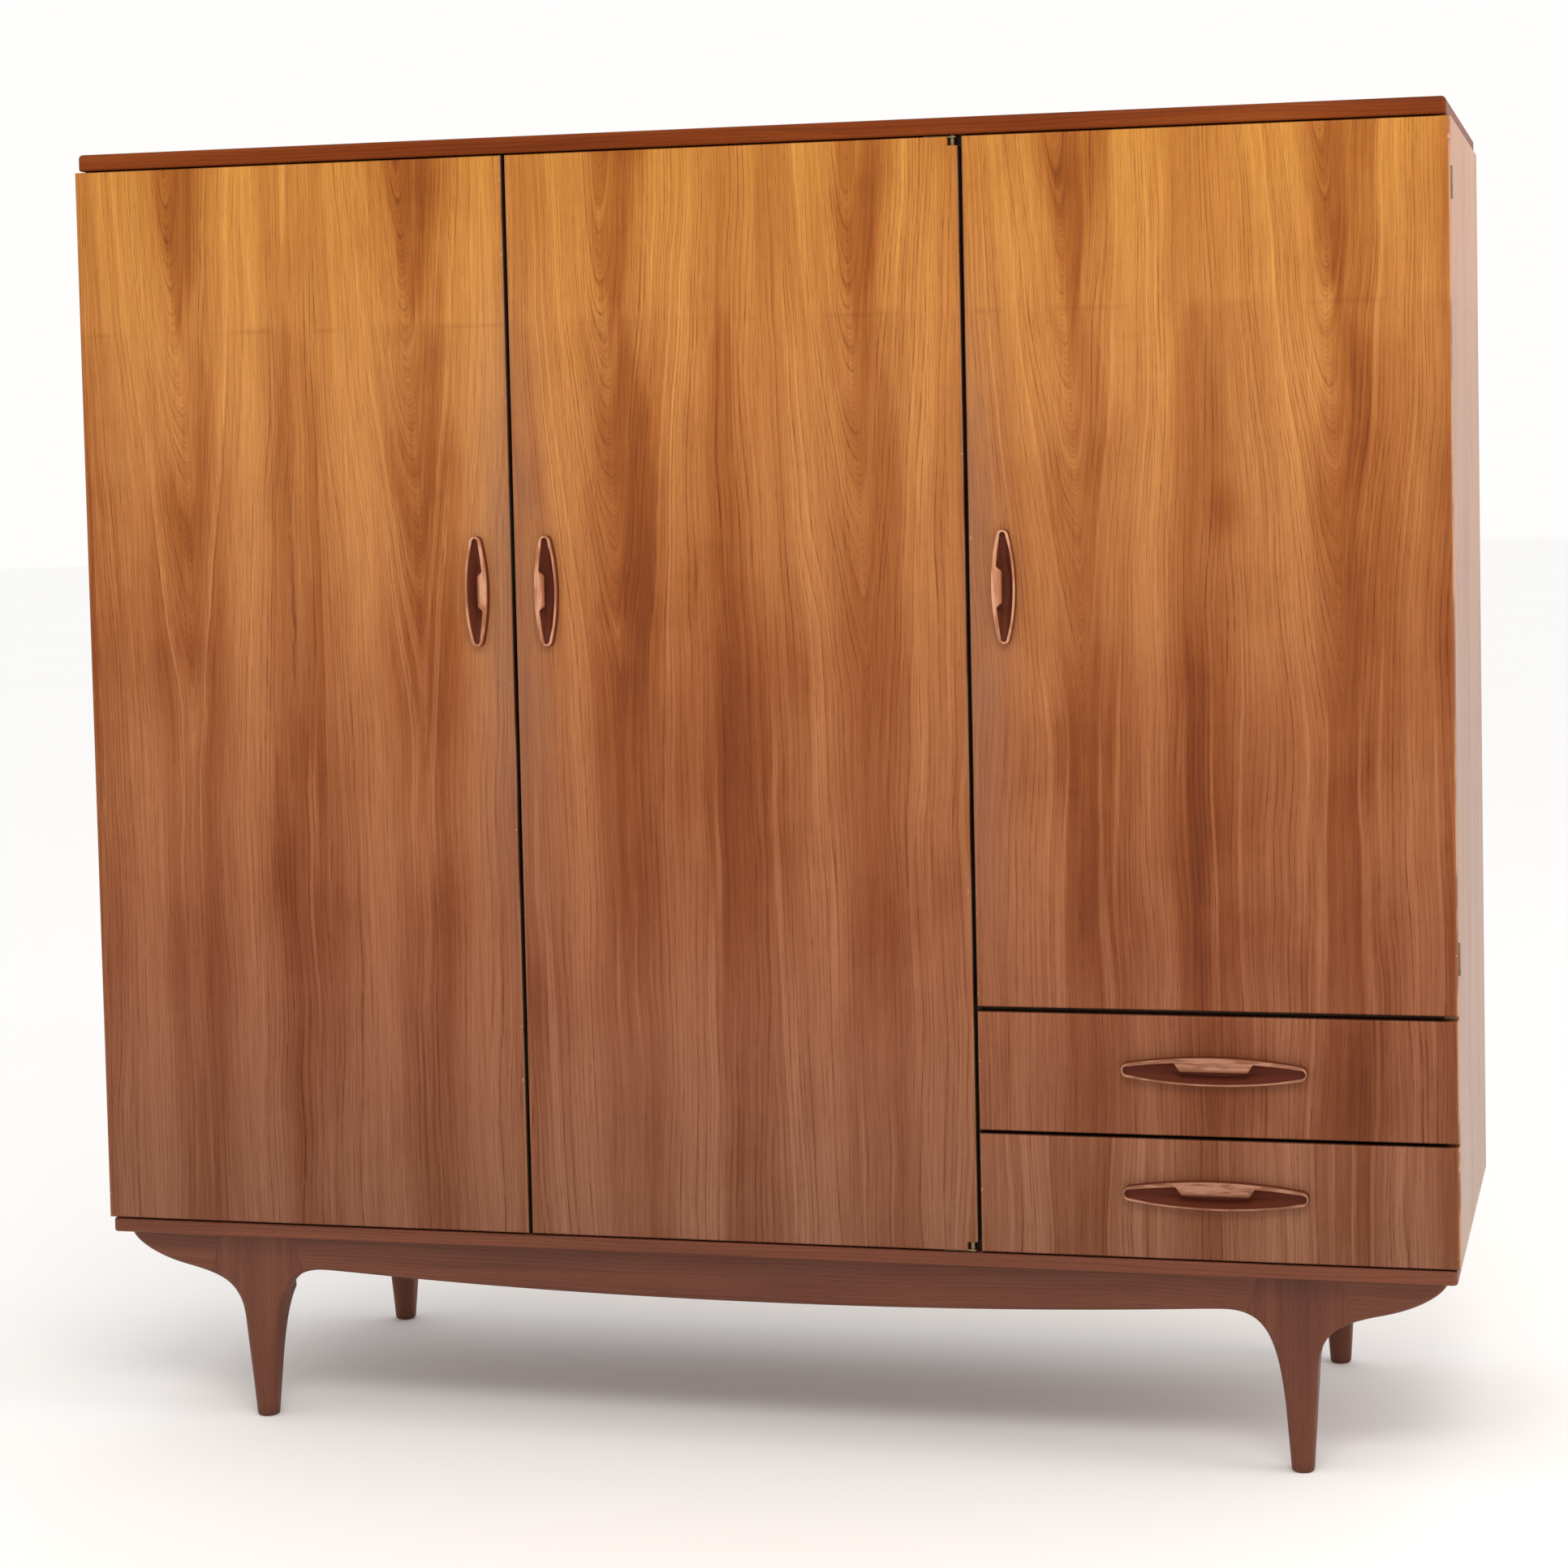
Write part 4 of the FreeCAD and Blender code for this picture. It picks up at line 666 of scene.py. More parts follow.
def stands_for(piece, node):
    """Puts a finished piece in the place of a CAD node, on the same body."""
    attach(piece, cad(node)["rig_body"])
    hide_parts(node)


def carved(node, rings, material):
    """A closed shape through the rings, in the place of a plain CAD node."""
    stands_for(piece_from(node + "_carved", *rings_closed(rings), material), node)


# ------------ carved pulls

PULL_THICK_WALL = 5.6 * MM  # the rim on the lip's side
PULL_DEPTH = 17 * MM
LIP_THICK = 4.5 * MM
LIP_GAP = 18 * MM  # from the pull's far side to the lip's tip
RIM_ROUND, RIM_SOFT, LIP_BEVEL = 1.3 * MM, 0.7 * MM, 4.5 * MM
TIP_NARROWING = 0.16  # how much narrower the hollow is towards the pull's two tips
RIM_STEPS, BOWL_STEPS = 4, 7
END_POINTS, SIDE_POINTS = 26, 104


def quarter_turn(steps):
    """Angles from 0 to a right angle, in equal steps."""
    return [math.pi / 2 * k / steps for k in range(steps + 1)]


def eased(value):
    value = min(max(value, 0.0), 1.0)
    return value * value * (3 - 2 * value)


def oval_normals(half_length, half_width, end_radius):
    """The ways that an oval of four arcs faces, all round it, closely spaced along its sides."""
    along, across = half_length - end_radius, half_width - end_radius
    big = (along**2 + half_width**2 - end_radius**2) / (2 * across)
    turn = math.atan2(big - half_width, along)
    ways = []
    for half_turn in (0.0, math.pi):
        for start, end, count in ((-turn, turn, END_POINTS), (turn, math.pi - turn, SIDE_POINTS)):
            ways += [half_turn + start + (end - start) * k / count for k in range(count)]
    return big, turn, ways


def carved_pull(node, along, lip_side, end_radius, wall, lip_root, lip_tip, material):
    """An oval cup with a thin rim; on one long side the rim grows into a finger lip."""
    lowest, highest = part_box(node)
    across = Z if along == X else X
    half_length = (highest[along] - lowest[along]) / 2
    half_width = (highest[across] - lowest[across]) / 2
    centre = (lowest + highest) / 2
    front, back = lowest.y, highest.y
    big, turn, ways = oval_normals(half_length, half_width, end_radius)

    def oval_point(way, inset):
        """A point of the oval, set in by some amount, where it faces that way."""
        c, s = math.cos(way), math.sin(way)
        if abs(s) < math.sin(turn):
            radius = end_radius - inset
            return math.copysign(half_length - end_radius, c) + radius * c, radius * s
        return (big - inset) * c, (big - inset) * s - math.copysign(big - half_width, s)

    def lip_share(u, v):
        return eased((lip_root - abs(u)) / (lip_root - lip_tip)) * eased(v / (2 * MM))

    def inner_point(way, extra=0.0):
        """The rim's inner edge: the rim is broader on the lip's side and grows into the lip."""
        u, v = oval_point(way, wall + extra)
        if v > 0:
            broadening = eased(1.25 - (u / (half_length * 0.92)) ** 2)
            v -= (PULL_THICK_WALL - wall) * broadening * eased(v / (half_width * 0.4))
            lip_edge = LIP_GAP - half_width - extra
            v += (min(v, lip_edge) - v) * lip_share(u, v)
        near_tip = eased((abs(u) / half_length - 0.62) / 0.33)
        return u, v * (1 - TIP_NARROWING * near_tip)

    def rim_ring(angle):
        inset, drop = RIM_ROUND * (1 - math.cos(angle)), RIM_ROUND * (1 - math.sin(angle))
        return lambda way: (*oval_point(way, inset), front + drop)

    def lip_ring(at_rim, at_lip, drop, lip_drop):
        """A ring round the hollow, set in by one amount at the rim and by another at the lip."""
        def point(way):
            share = lip_share(*oval_point(way, wall))
            u, v = inner_point(way, at_rim + (at_lip - at_rim) * share)
            return u, v, front + drop + lip_drop * share
        return point

    def bowl_ring(angle):
        top = LIP_THICK + 2 * MM
        depth = front + PULL_DEPTH - (PULL_DEPTH - top) * math.cos(angle)
        shrink = 0.45 + 0.55 * math.cos(angle * 0.98)
        return lambda way: (
            *(value * shrink for value in oval_point(way, wall + 0.4 * MM)), depth,
        )

    profile = [
        lambda way: (*oval_point(way, 0.0), back),
        *map(rim_ring, quarter_turn(RIM_STEPS)),
        lip_ring(-RIM_SOFT * 1.6, -LIP_BEVEL, 0.05 * MM, 0.25 * MM),
        lip_ring(-RIM_SOFT, -LIP_BEVEL * 0.5, 0.20 * MM, 0.9 * MM),
        lip_ring(-RIM_SOFT * 0.5, -RIM_SOFT, 0.45 * MM, 2.0 * MM),
        lip_ring(0.0, 0.0, 1.1 * MM, 2.0 * MM),
        lip_ring(0.0, 0.0, LIP_THICK - 1.2 * MM, 0.6 * MM),
        lip_ring(0.0, -RIM_SOFT, LIP_THICK - 0.2 * MM, 0.2 * MM),
        lambda way: (*oval_point(way, wall + 0.4 * MM), front + LIP_THICK + 0.3 * MM),
        *map(bowl_ring, quarter_turn(BOWL_STEPS)[1:]),
    ]
    rings = []
    for place in profile:
        ring = []
        for way in ways:
            u, v, depth = place(way)
            point = Vector((0.0, depth, 0.0))
            point[along] = centre[along] + u
            point[across] = centre[across] + v * lip_side
            ring.append(point)
        rings.append(ring)
    carved(node, rings, material)


# ------------ base frames


def bezier(start, start_way, end, end_way, reach, steps=14):
    """Points of a smooth curve between two places, leaving and arriving along the given ways.
    reach gives how far the curve holds each way."""
    a, b = Vector(start), Vector(end)
    leave = a + Vector(start_way).normalized() * reach[0]
    arrive = b - Vector(end_way).normalized() * reach[1]
    flat = [Vector((p.x, p.y, 0.0)) for p in (a, leave, arrive, b)]
    return [Vector((p.x, p.y)) for p in interpolate_bezier(*flat, steps)]


FOOT_HALF = 15 * MM
HAUNCH = 56 * MM  # how far a leg's block reaches up behind the apron
HAUNCH_DEPTH = 23 * MM
HAUNCH_STEPS, LEG_STEPS, CORNER_STEPS, SOFT_STEPS = 12, 30, 6, 5
LEG_CORNER, FOOT_ROUNDING = 6 * MM, 7.5 * MM
FOOT_EDGE = ((0.0, 3.2), (0.7, 1.3), (1.9, 0.4), (3.4, 0.0))  # mm inwards, mm above the floor

# the frame's lower outline, from the right wing's tip past the leg to the middle of the apron
TIP = Vector((high("front_apron", X), BASE_TOP - 6 * MM))
WING = Vector((LEG_MIDDLE + 111 * MM, BASE_TOP - 51 * MM))
CALF_OUT = Vector((LEG_MIDDLE + 23.5 * MM, BASE_TOP - 124 * MM))
CALF_IN = Vector((LEG_MIDDLE - 21 * MM, BASE_TOP - 178 * MM))
CROWN = Vector((LEG_MIDDLE - 98 * MM, BASE_TOP - 51.5 * MM))
BELLY = Vector((0.0, BASE_TOP - 70 * MM))
LEG_TAPER = Vector((-0.0625, -1.0))

OUTER_LINE = (
    bezier(TIP, (-0.30, -1.0), WING, (-0.975, -0.22), (14 * MM, 48 * MM))
    + bezier(WING, (-0.975, -0.22), CALF_OUT, LEG_TAPER, (56 * MM, 50 * MM), 22)[1:]
)
INNER_LINE = (
    bezier(CALF_IN, (-0.09, 1.0), CROWN, (-1.0, 0.0), (88 * MM, 55 * MM), 26)
    + bezier(CROWN, (-1.0, 0.0), BELLY, (-1.0, 0.0), (42 * MM, 390 * MM), 24)[1:]
)


def crossing(line, height):
    """Where a line of points passes a height."""
    for a, b in zip(line, line[1:]):
        if min(a.y, b.y) <= height <= max(a.y, b.y) and a.y != b.y:
            return a.x + (b.x - a.x) * (height - a.y) / (b.y - a.y)
    return None


def leg_sides(height):
    """Inner and outer X of the right leg at a height. Below its calf it tapers straight down."""
    def tapered(calf, foot):
        return calf.x + (foot - calf.x) * (calf.y - height) / calf.y

    inner, outer = crossing(INNER_LINE, height), crossing(OUTER_LINE, height)
    if outer is None:
        outer = tapered(CALF_OUT, LEG_MIDDLE + FOOT_HALF)
    if inner is None:
        inner = tapered(CALF_IN, LEG_MIDDLE - FOOT_HALF)
    return inner, outer


def apron_piece(node, material, soft_front, soft_back):
    """The carved apron: its lower edge is rounded towards both faces, down to the necks."""
    front, back = span(node, Y)
    neck_in, neck_out = [Vector((x, NECK)) for x in leg_sides(NECK)]
    outer = [p for p in OUTER_LINE if p.y > NECK] + [neck_out]
    inner = [neck_in] + [p for p in INNER_LINE if p.y > NECK or p.x < CROWN.x]
    right = [Vector((TIP.x, BASE_TOP))] + outer + inner
    line = right + [Vector((-p.x, p.y)) for p in reversed(right[:-1])]
    last = len(line) - 1
    right_necks = {len(outer), len(outer) + 1}
    necks = right_necks | {last - i for i in right_necks}

    def inward(i):
        """The way that the outline is drawn in at one of its points: level at ends and necks."""
        if i in (0, last):
            return Vector((-1.0 if i == 0 else 1.0, 0.0))
        before, after = line[i - 1], line[i + 1]
        if i in necks:
            wood = before if before.y > NECK else after
            return Vector((-1.0 if wood.x > line[i].x else 1.0, 0.0))
        way = after - before
        normal = Vector((way.y, -way.x)).normalized()
        return normal if normal.y > -0.2 else -normal

    def ring(face, soft, inwards, angle):
        """The outline near one of the faces, where its rounded edge has turned by the angle."""
        y, inset = face + inwards * soft * (1 - math.sin(angle)), soft * (1 - math.cos(angle))
        moved = [p + inward(i) * inset for i, p in enumerate(line)]
        return [Vector((p.x, y, min(p.y, BASE_TOP))) for p in moved]

    angles = quarter_turn(SOFT_STEPS)
    rings = [ring(front, soft_front, 1, angle) for angle in reversed(angles)]
    rings += [ring(back, soft_back, -1, angle) for angle in angles]
    carved(node, rings, material)


def rounded_section(height, xs, ys, corner):
    """A level rectangle with rounded corners."""
    corner = min(corner, (xs[1] - xs[0]) / 2.02, (ys[1] - ys[0]) / 2.02)
    left, right = xs[0] + corner, xs[1] - corner
    near, far = ys[0] + corner, ys[1] - corner
    ring = []
    for cx, cy, start in ((right, near, -90), (right, far, 0), (left, far, 90), (left, near, 180)):
        for k in range(CORNER_STEPS + 1):
            a = math.radians(start + 90 * k / CORNER_STEPS)
            ring.append(Vector((cx + corner * math.cos(a), cy + corner * math.sin(a), height)))
    return ring


def leg_piece(node, side, material):
    """A leg that grows out of the apron's shoulders and tapers to a nearly round foot."""
    front, back = span(node, Y)
    mid, neck_depth = (front + back) / 2, back - front
    at_front = node.startswith("front")
    outwards = -1.0 if at_front else 1.0
    face = low("front_apron", Y) if at_front else high("rear_apron", Y)
    rings = []

    def add_ring(height, inner, outer, near, far, corner):
        """A section between those limits, on this leg's side of the wardrobe and of the apron."""
        xs, ys = sorted((side * inner, side * outer)), sorted((near, far))
        rings.append(rounded_section(height, xs, ys, corner))

    inner, outer = leg_sides(NECK)
    for angle in quarter_turn(HAUNCH_STEPS):
        share, swell = math.cos(angle), math.sin(angle)
        tuck = (outer - inner) * 0.36 * (1 - swell)
        far = face - outwards * (HAUNCH_DEPTH + (neck_depth - HAUNCH_DEPTH) * swell)
        near = face - outwards * 4 * MM * min(1.0, share * 6)
        add_ring(NECK + HAUNCH * share, inner + tuck, outer - tuck, near, far, LEG_CORNER)
    for k in range(1, LEG_STEPS):
        share = k / LEG_STEPS
        height = NECK * (1 - share)
        ease = (eased(share) + share) / 2
        half_depth = (neck_depth + (2 * FOOT_HALF - neck_depth) * ease) / 2
        corner = LEG_CORNER + FOOT_ROUNDING * share
        add_ring(height, *leg_sides(height), mid - half_depth, mid + half_depth, corner)
    inner, outer = leg_sides(0.0)
    for shrink, lift in FOOT_EDGE:
        half_depth = FOOT_HALF - shrink * MM
        add_ring(
            lift * MM, inner + shrink * MM, outer - shrink * MM,
            mid - half_depth, mid + half_depth, LEG_CORNER + FOOT_ROUNDING,
        )
    carved(node, rings, material)


# ------------ screws by geometry nodes

# sockets of a Random Value node that gives a float
RANDOM_MAX, RANDOM_VALUE = 3, 1
HEAD_CORNERS, SHANK_CORNERS = 20, 10

# each set: head's height, radius of its foot and of its crown as shares of the plain head's, width
# of the slot, radius of the shank
HINGE_SCREW = (1.2 * MM, (0.6, 1.0), 0.7 * MM, 1.4 * MM)
SCREWS = [
    ("left_door_hinge_screws", *HINGE_SCREW),
    ("right_door_hinge_screws", *HINGE_SCREW),
    ("side_hinge_screws", *HINGE_SCREW),
    ("pivot_arm_screws", *HINGE_SCREW),
    ("runner_screws", 2.4 * MM, (0.6, 1.0), 0.8 * MM, 1.4 * MM),
    ("back_screws", 1.6 * MM, (1.0, 0.62), 0.9 * MM, 1.5 * MM),
    ("base_screws", 4.0 * MM, (1.0, 0.9), 1.2 * MM, 2.5 * MM),
]


def solids_of(node):
    """The points of each separate solid in a CAD node."""
    shape = bmesh.new()
    shape.from_mesh(cad(node).data)
    bmesh.ops.remove_doubles(shape, verts=shape.verts, dist=1e-6)
    left, solids = set(shape.verts), []
    while left:
        start = left.pop()
        found, waiting = [start], [start]
        while waiting:
            for edge in waiting.pop().link_edges:
                for vert in edge.verts:
                    if vert in left:
                        left.remove(vert)
                        found.append(vert)
                        waiting.append(vert)
        solids.append([vert.co.copy() for vert in found])
    shape.free()
    return solids


def screw_place(points):
    """The middle of a screw's head, the way it faces, its head radius and its length."""
    lowest = Vector([min(p[i] for p in points) for i in range(3)])
    highest = Vector([max(p[i] for p in points) for i in range(3)])
    size = highest - lowest
    axis = max(range(3), key=lambda i: size[i])
    centre = (lowest + highest) / 2
    reach = {}
    for end, level in ((-1, lowest[axis]), (1, highest[axis])):
        near = [p for p in points if abs(p[axis] - level) < size[axis] * 0.2]
        reach[end] = max(max(abs(p[i] - centre[i]) for i in range(3) if i != axis) for p in near)
    end = max(reach, key=reach.get)
    top = centre.copy()
    top[axis] = highest[axis] if end > 0 else lowest[axis]
    facing = Vector((0.0, 0.0, 0.0))
    facing[axis] = float(end)
    return top, facing, reach[end], size[axis]


def screw_tree():
    """A slotted wood screw on every point, its head facing along the point's facing attribute."""
    tree = bpy.data.node_groups.new("slotted_screws", "GeometryNodeTree")
    face = tree.interface
    sizes = ("Head Radius", "Crown Radius", "Head Height", "Shank Radius", "Length", "Slot Width")
    kinds = {"Geometry": "Geometry", **dict.fromkeys(sizes, "Float")}
    for label, kind in {**kinds, "Seed": "Int", "Metal": "Material"}.items():
        face.new_socket(label, in_out="INPUT", socket_type="NodeSocket" + kind)
    face.new_socket("Geometry", in_out="OUTPUT", socket_type="NodeSocketGeometry")

    def add(kind, inputs=(), **settings):
        """A node, each of its inputs given as a plain value or as another node's output."""
        node = tree.nodes.new(kind)
        for key, value in settings.items():
            setattr(node, key, value)
        for key, value in dict(inputs).items():
            if isinstance(value, bpy.types.NodeSocket):
                tree.links.new(value, node.inputs[key])
            else:
                node.inputs[key].default_value = value
        return node

    def worked(operation, first, second):
        return add("ShaderNodeMath", {0: first, 1: second}, operation=operation).outputs[0]

    def vector(x=0.0, y=0.0, z=0.0):
        return add("ShaderNodeCombineXYZ", {"X": x, "Y": y, "Z": z}).outputs[0]

    def lifted(geometry, height):
        move = {"Geometry": geometry, "Translation": vector(z=height)}
        return add("GeometryNodeTransform", move).outputs[0]

    given = add("NodeGroupInput").outputs
    head_height = given["Head Height"]
    head = add("GeometryNodeMeshCone", {
        "Vertices": HEAD_CORNERS, "Radius Top": given["Crown Radius"],
        "Radius Bottom": given["Head Radius"], "Depth": head_height,
    })
    slot_length = worked("MULTIPLY", given["Head Radius"], 3.0)
    slot = add("GeometryNodeMeshCube", {
        "Size": vector(slot_length, given["Slot Width"], given["Slot Width"]),
    })
    slotted = add("GeometryNodeMeshBoolean", {
        "Mesh 1": head.outputs["Mesh"], "Mesh 2": lifted(slot.outputs["Mesh"], head_height),
    }, operation="DIFFERENCE")
    shank_length = worked("SUBTRACT", given["Length"], head_height)
    shank = add("GeometryNodeMeshCylinder", {
        "Vertices": SHANK_CORNERS, "Radius": given["Shank Radius"], "Depth": shank_length,
    })
    whole = add("GeometryNodeJoinGeometry")
    shank_below = lifted(shank.outputs["Mesh"], worked("MULTIPLY", shank_length, -0.5))
    for part in (shank_below, slotted.outputs["Mesh"]):
        tree.links.new(part, whole.inputs[0])
    screw = lifted(whole.outputs[0], worked("MULTIPLY", head_height, -1.0))

    facing = add("GeometryNodeInputNamedAttribute", {"Name": "facing"}, data_type="FLOAT_VECTOR")
    turned = add("FunctionNodeAlignRotationToVector", {"Vector": facing.outputs[0]}, axis="Z")
    spread = add("GeometryNodeInstanceOnPoints", {
        "Points": given["Geometry"], "Instance": screw, "Rotation": turned.outputs[0],
    })
    chance = add("FunctionNodeRandomValue", {
        RANDOM_MAX: math.pi, "Seed": given["Seed"],
    }, data_type="FLOAT")
    driven = add("GeometryNodeRotateInstances", {
        "Instances": spread.outputs[0], "Rotation": vector(z=chance.outputs[RANDOM_VALUE]),
    })
    real = add("GeometryNodeRealizeInstances", {0: driven.outputs[0]})
    dressed = add("GeometryNodeSetMaterial", {
        "Geometry": real.outputs[0], "Material": given["Metal"],
    })
    add("NodeGroupOutput", {0: dressed.outputs[0]})
    return tree


def screws(node, tree, material, head_height, head_shares, slot_width, shank_radius, seed):
    """Slotted screws in the place of a CAD node's plain ones."""
    places = [screw_place(points) for points in solids_of(node)]
    places.sort(key=lambda place: tuple(round(v, 4) for v in place[0]))
    _, _, head_radius, length = places[0]
    mesh = bpy.data.meshes.new(node + "_points")
    mesh.from_pydata([tuple(top) for top, *_ in places], [], [])
    facing = mesh.attributes.new("facing", "FLOAT_VECTOR", "POINT")
    for item, (_, way, _, _) in zip(facing.data, places):
        item.vector = way
    points = put(node + "_points", mesh)
    modifier = points.modifiers.new("screws", "NODES")
    modifier.node_group = tree
    values = {
        "Head Radius": head_radius * head_shares[0],
        "Crown Radius": head_radius * head_shares[1],
        "Head Height": head_height,
        "Shank Radius": shank_radius,
        "Length": length,
        "Slot Width": slot_width,
        "Seed": seed,
        "Metal": material,
    }
    for item in tree.interface.items_tree:
        if item.in_out == "INPUT" and item.name in values:
            modifier[item.identifier] = values[item.name]
    points.update_tag()
    bpy.context.view_layer.update()
    solid = points.evaluated_get(bpy.context.evaluated_depsgraph_get())
    made = bpy.data.meshes.new_from_object(solid)
    bpy.data.objects.remove(points)
    piece = put(node + "_slotted", made)
    coat(piece, material)
    stands_for(piece, node)


# ------------ the wardrobe

# each front: where its first leaf starts from its left edge, its seed, and which of its two edges
# is touched
FRONTS = {
    "left_door_panel": (11 * MM, 1.3, 1),
    "middle_door_panel": (7 * MM, 2.1, 0),
    "right_door_panel": (-4 * MM, 2.9, 0),
    "upper_drawer_front": (-4 * MM, 4.4, None),
    "lower_drawer_front": (-4 * MM, 5.2, None),
}
SIDES = {"left_side": 7.3, "right_side": 8.1}
SIDE_LEAF_START = -90 * MM

# each pull's way along, the side its lip is on, and its own shape
DOOR_LIP = (8 * MM, 3.0 * MM, 28 * MM, 20 * MM)
DRAWER_LIP = (9.5 * MM, 2.4 * MM, 53 * MM, 44 * MM)
PULLS = {
    "left_door_pull": (Z, 1, *DOOR_LIP),
    "middle_door_pull": (Z, -1, *DOOR_LIP),
    "right_door_pull": (Z, -1, *DOOR_LIP),
    "upper_drawer_pull": (X, 1, *DRAWER_LIP),
    "lower_drawer_pull": (X, 1, *DRAWER_LIP),
}

# name, place, target, width and height, power, colour
LAMPS = [
    ("key", (0.9, -3.3, 3.9), (0.1, -0.3, 1.5), (2.6, 1.2), 70.0, (1.0, 0.93, 0.84)),
    ("side", (4.2, -0.4, 2.2), (0.9, 0.0, 1.2), (1.6, 2.6), 40.0, (1.0, 0.90, 0.82)),
]
ROOM_COLOUR = (1.0, 0.99, 0.98, 1.0)
FLOOR_COLOUR = (0.965, 0.965, 0.965)
FLOOR_RADIUS, FLOOR_CORNERS = 40.0, 96

EYE = Vector((1.2052, -4.2798, 1.3537))
EYE_YAW, EYE_PITCH, EYE_ROLL = 0.2263, -0.0548, -0.0191
SENSOR_WIDTH, LENS, LENS_SHIFT = 36.0, 71.3, (-0.1035, -0.1035)


def dress_fronts():
    """Veneer on the doors, drawer fronts and sides."""
    for node, (offset, seed, opening) in FRONTS.items():
        edges = span(node, X)
        touched = None if opening is None else edges[opening]
        coat(cad(node), veneer(
            node + "_veneer", X, edges[0] + offset, seed, edges, touched, clouds=CLOUDS[node],
            ends=span(node, Z), face=low(node, Y),
        ))
    for node, seed in SIDES.items():
        edges = span(node, Y)
        coat(cad(node), veneer(
            node + "_veneer", Y, edges[0] + SIDE_LEAF_START, seed, edges, flames=[],
            painted_light=SIDE_PAINTED_LIGHT, shine=1.0, gloss=0.26,
        ))


def dress_boards():
    """Solid woods, metals and plastic on the CAD nodes that keep their own shape."""
    inside = dict(tones=TONES["inside"], pitch=0.006, gloss=0.45, contrast=0.7)
    beech = dict(tones=TONES["beech"], pitch=0.005, gloss=0.5, contrast=0.5)
    plywood = dict(tones=TONES["plywood"], pitch=0.016, gloss=0.6, contrast=0.6)
    rail_steel = metal("rail_steel", (0.72, 0.72, 0.71), (0.45, 0.44, 0.42), 0.24)
    hinge_steel = metal("hinge_aged_steel", (0.24, 0.17, 0.11), (0.09, 0.06, 0.04), 0.48)
    catch_plastic = moulded_plastic("catch_plastic", (0.16, 0.09, 0.055), 0.4)
    partition_lip, divider_lip = low("partition", Y) + 4 * MM, low("drawer_divider", Y) + 6 * MM
    finishes = {
        "top_board": solid_wood(
            "teak_top_board", X, TONES["board"], 3.0, gloss=0.40, shine=0.08,
        ),
        "bottom_board": solid_wood(
            "teak_bottom_board", X, TONES["sill"], 4.0, gloss=0.44, shine=0.25,
        ),
        "partition": solid_wood(
            "inner_veneer_upright", Z, seed=13.0, lipped=partition_lip, **inside,
        ),
        "hat_shelf linen_shelves": solid_wood("inner_veneer_flat", X, seed=17.0, **inside),
        "drawer_divider": solid_wood("divider_veneer", X, seed=17.0, lipped=divider_lip, **inside),
        "base_side_rails base_centre_rail drawer_runners upper_drawer_left_side "
        "upper_drawer_right_side lower_drawer_left_side lower_drawer_right_side":
            solid_wood("beech_front_to_back", Y, seed=19.0, **beech),
        "upper_drawer_back lower_drawer_back":
            solid_wood("beech_side_to_side", X, seed=23.0, **beech),
        "back_batten shelf_pegs": solid_wood("beech_upright", Z, seed=29.0, **beech),
        "back_panel_left back_panel_middle back_panel_right":
            solid_wood("plywood_upright", Z, seed=31.0, **plywood),
        "upper_drawer_bottom lower_drawer_bottom":
            solid_wood("plywood_flat", X, seed=37.0, **plywood),
        "clothes_rail rail_sockets rail_hanger": rail_steel,
        "left_door_hinge_leaves right_door_hinge_leaves side_hinge_leaves hinge_pins "
        "pivot_arms pivot_pins left_strike_plate middle_strike_plate right_strike_plate":
            hinge_steel,
        "door_catches": catch_plastic,
    }
    for nodes, material in finishes.items():
        for node in nodes.split():
            coat(cad(node), material)


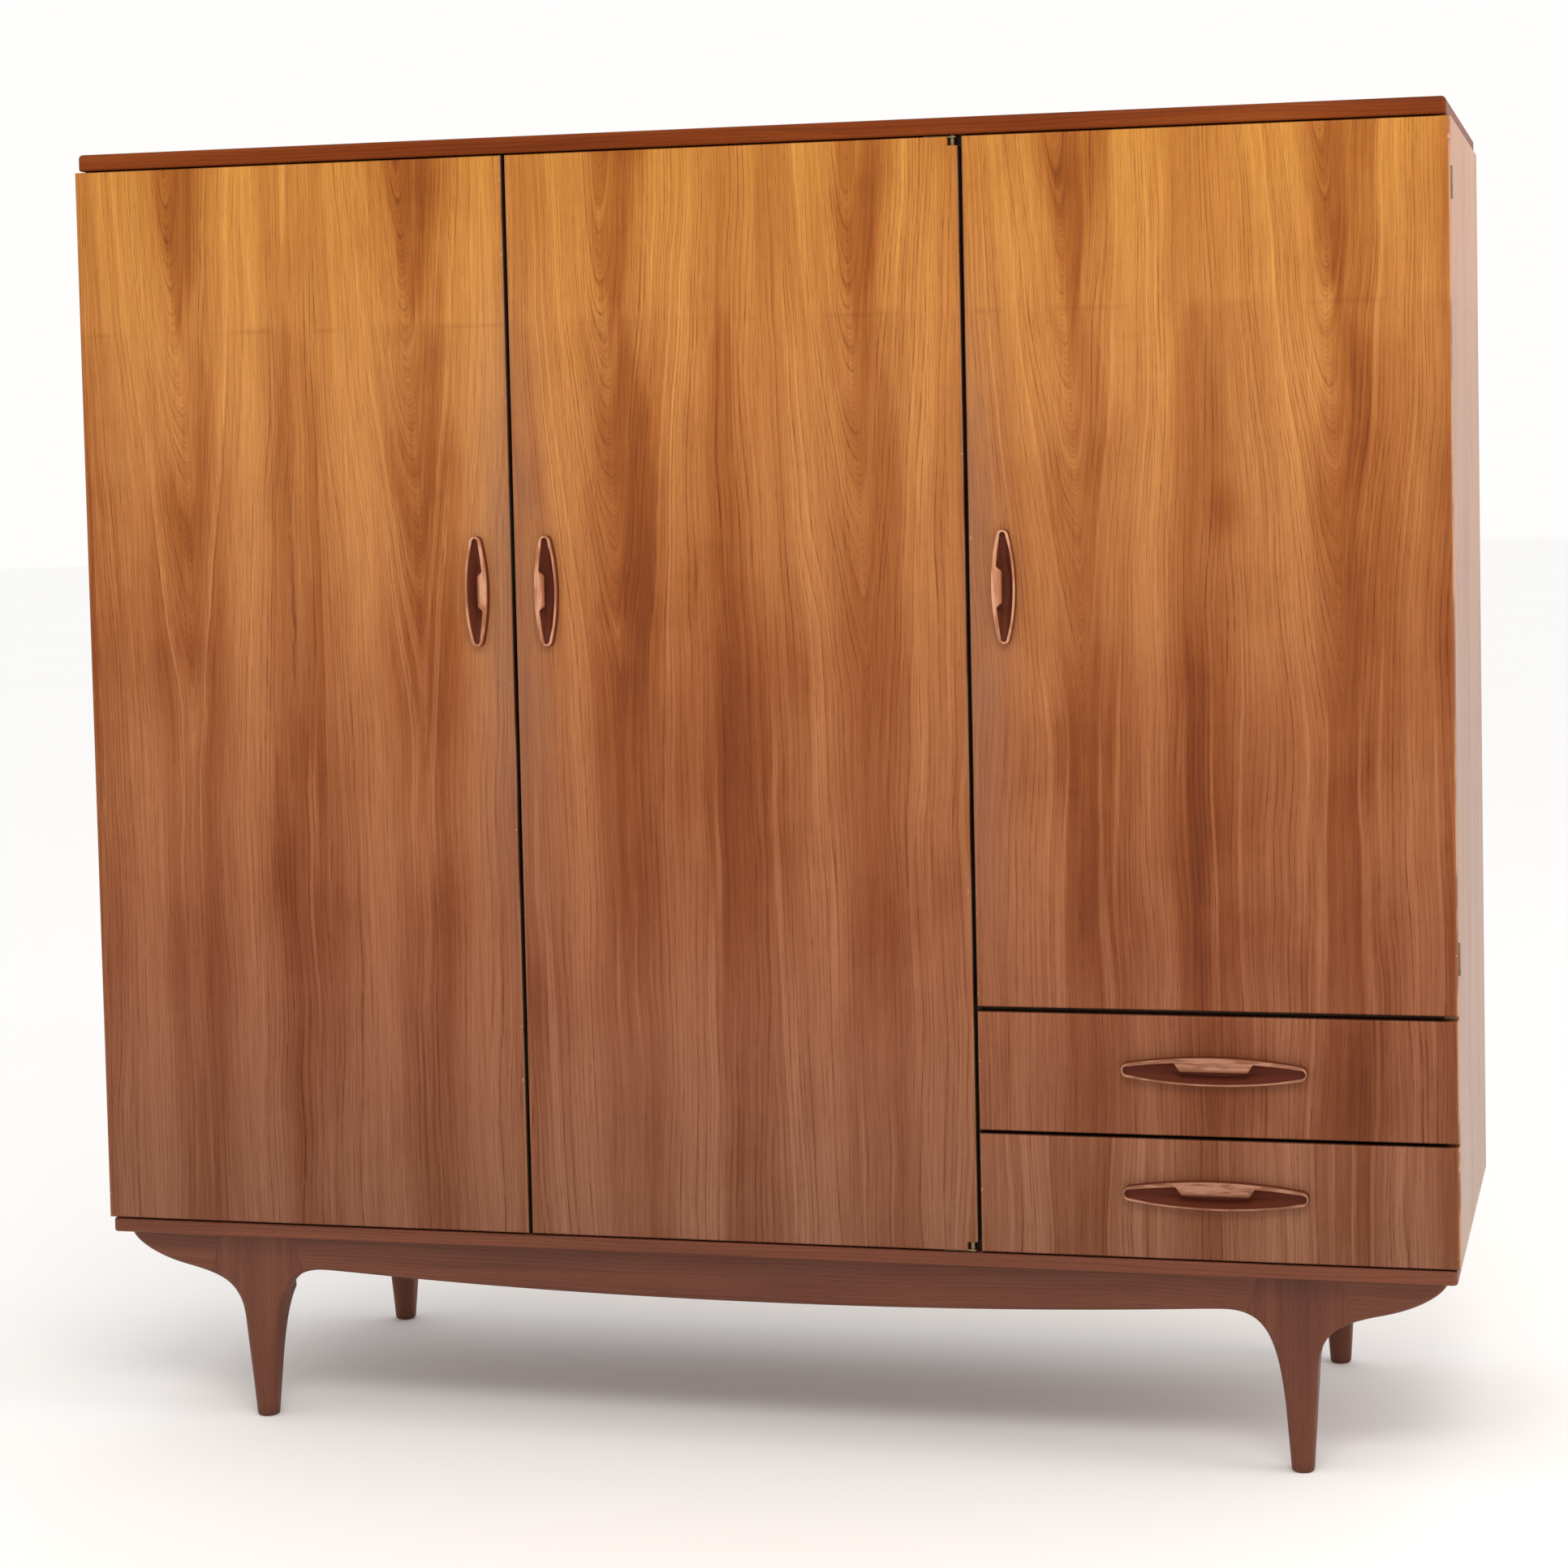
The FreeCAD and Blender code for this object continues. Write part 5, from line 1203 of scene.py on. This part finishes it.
def carve_pieces():
    """The finer pieces that stand for plain CAD solids: pulls, base frames and screws."""
    pull_front = low("left_door_pull", Y)
    pull_finishes = {
        # lighter rim colour on the door pulls as painted light, darker on the drawer pulls as
        # painted shade
        Z: pull_wood("teak_pull_upright_painted_lighter", Z, pull_front, TONES["door_pull"], (0.690, 0.370, 0.235)),
        X: pull_wood("teak_pull_level_painted_darker", X, pull_front, TONES["drawer_pull"], (0.470, 0.235, 0.155)),
    }
    for node, (along, *shape) in PULLS.items():
        carved_pull(node, along, *shape, pull_finishes[along])

    teak_base = base_wood("teak_base_frame", TONES["base"])
    apron_piece("front_apron", teak_base, 6 * MM, 4 * MM)
    apron_piece("rear_apron", teak_base, 4 * MM, 6 * MM)
    for frame_side in ("front", "rear"):
        leg_piece(frame_side + "_left_leg", -1, teak_base)
        leg_piece(frame_side + "_right_leg", 1, teak_base)

    tree = screw_tree()
    screw_steel = metal("screw_steel", (0.60, 0.57, 0.50), (0.26, 0.23, 0.19), 0.34)
    for seed, (node, *sizes) in enumerate(SCREWS, start=1):
        screws(node, tree, screw_steel, *sizes, seed)


def floor_and_light():
    """A pale floor, a bright even room, one large soft lamp above the front and one at the side."""
    turns = [2 * math.pi * k / FLOOR_CORNERS for k in range(FLOOR_CORNERS)]
    rim = [Vector((math.cos(turn), math.sin(turn), 0.0)) * FLOOR_RADIUS for turn in turns]
    surface = floor_surface("pale_floor", FLOOR_COLOUR, 0.9)
    floor = piece_from("floor", rim, [tuple(range(FLOOR_CORNERS))], surface, False)
    world = bpy.data.worlds.new("room")
    bpy.context.scene.world = world
    world.use_nodes = True
    background = world.node_tree.nodes["Background"]
    background.inputs["Color"].default_value = ROOM_COLOUR
    background.inputs["Strength"].default_value = 1.0
    for name, where, target, size, power, colour in LAMPS:
        light = bpy.data.lights.new(name, "AREA")
        light.shape = "RECTANGLE"
        light.size, light.size_y = size
        light.energy = power
        light.color = colour
        lamp = put(name, light)
        lamp.location = where
        lamp.rotation_euler = (Vector(target) - Vector(where)).to_track_quat("-Z", "Y").to_euler()
    bpy.context.scene.view_settings.view_transform = "Standard"


def camera():
    """Eye height a little under the top, to the right of the middle, turned left."""
    data = bpy.data.cameras.new("camera")
    data.sensor_width = SENSOR_WIDTH
    data.lens = LENS
    data.shift_x, data.shift_y = LENS_SHIFT
    level = Vector((-math.sin(EYE_YAW), math.cos(EYE_YAW), 0.0)) * math.cos(EYE_PITCH)
    ahead = level + Vector((0.0, 0.0, math.sin(EYE_PITCH)))
    right = Vector((math.cos(EYE_YAW), math.sin(EYE_YAW), 0.0))
    up = right.cross(ahead)
    rolled_right = right * math.cos(EYE_ROLL) + up * math.sin(EYE_ROLL)
    rolled_up = up * math.cos(EYE_ROLL) - right * math.sin(EYE_ROLL)
    eye = put("camera", data)
    turn = Matrix((rolled_right, rolled_up, -ahead)).transposed().to_4x4()
    eye.matrix_world = Matrix.Translation(EYE) @ turn
    bpy.context.scene.camera = eye


dress_fronts()
dress_boards()
carve_pieces()
floor_and_light()
camera()
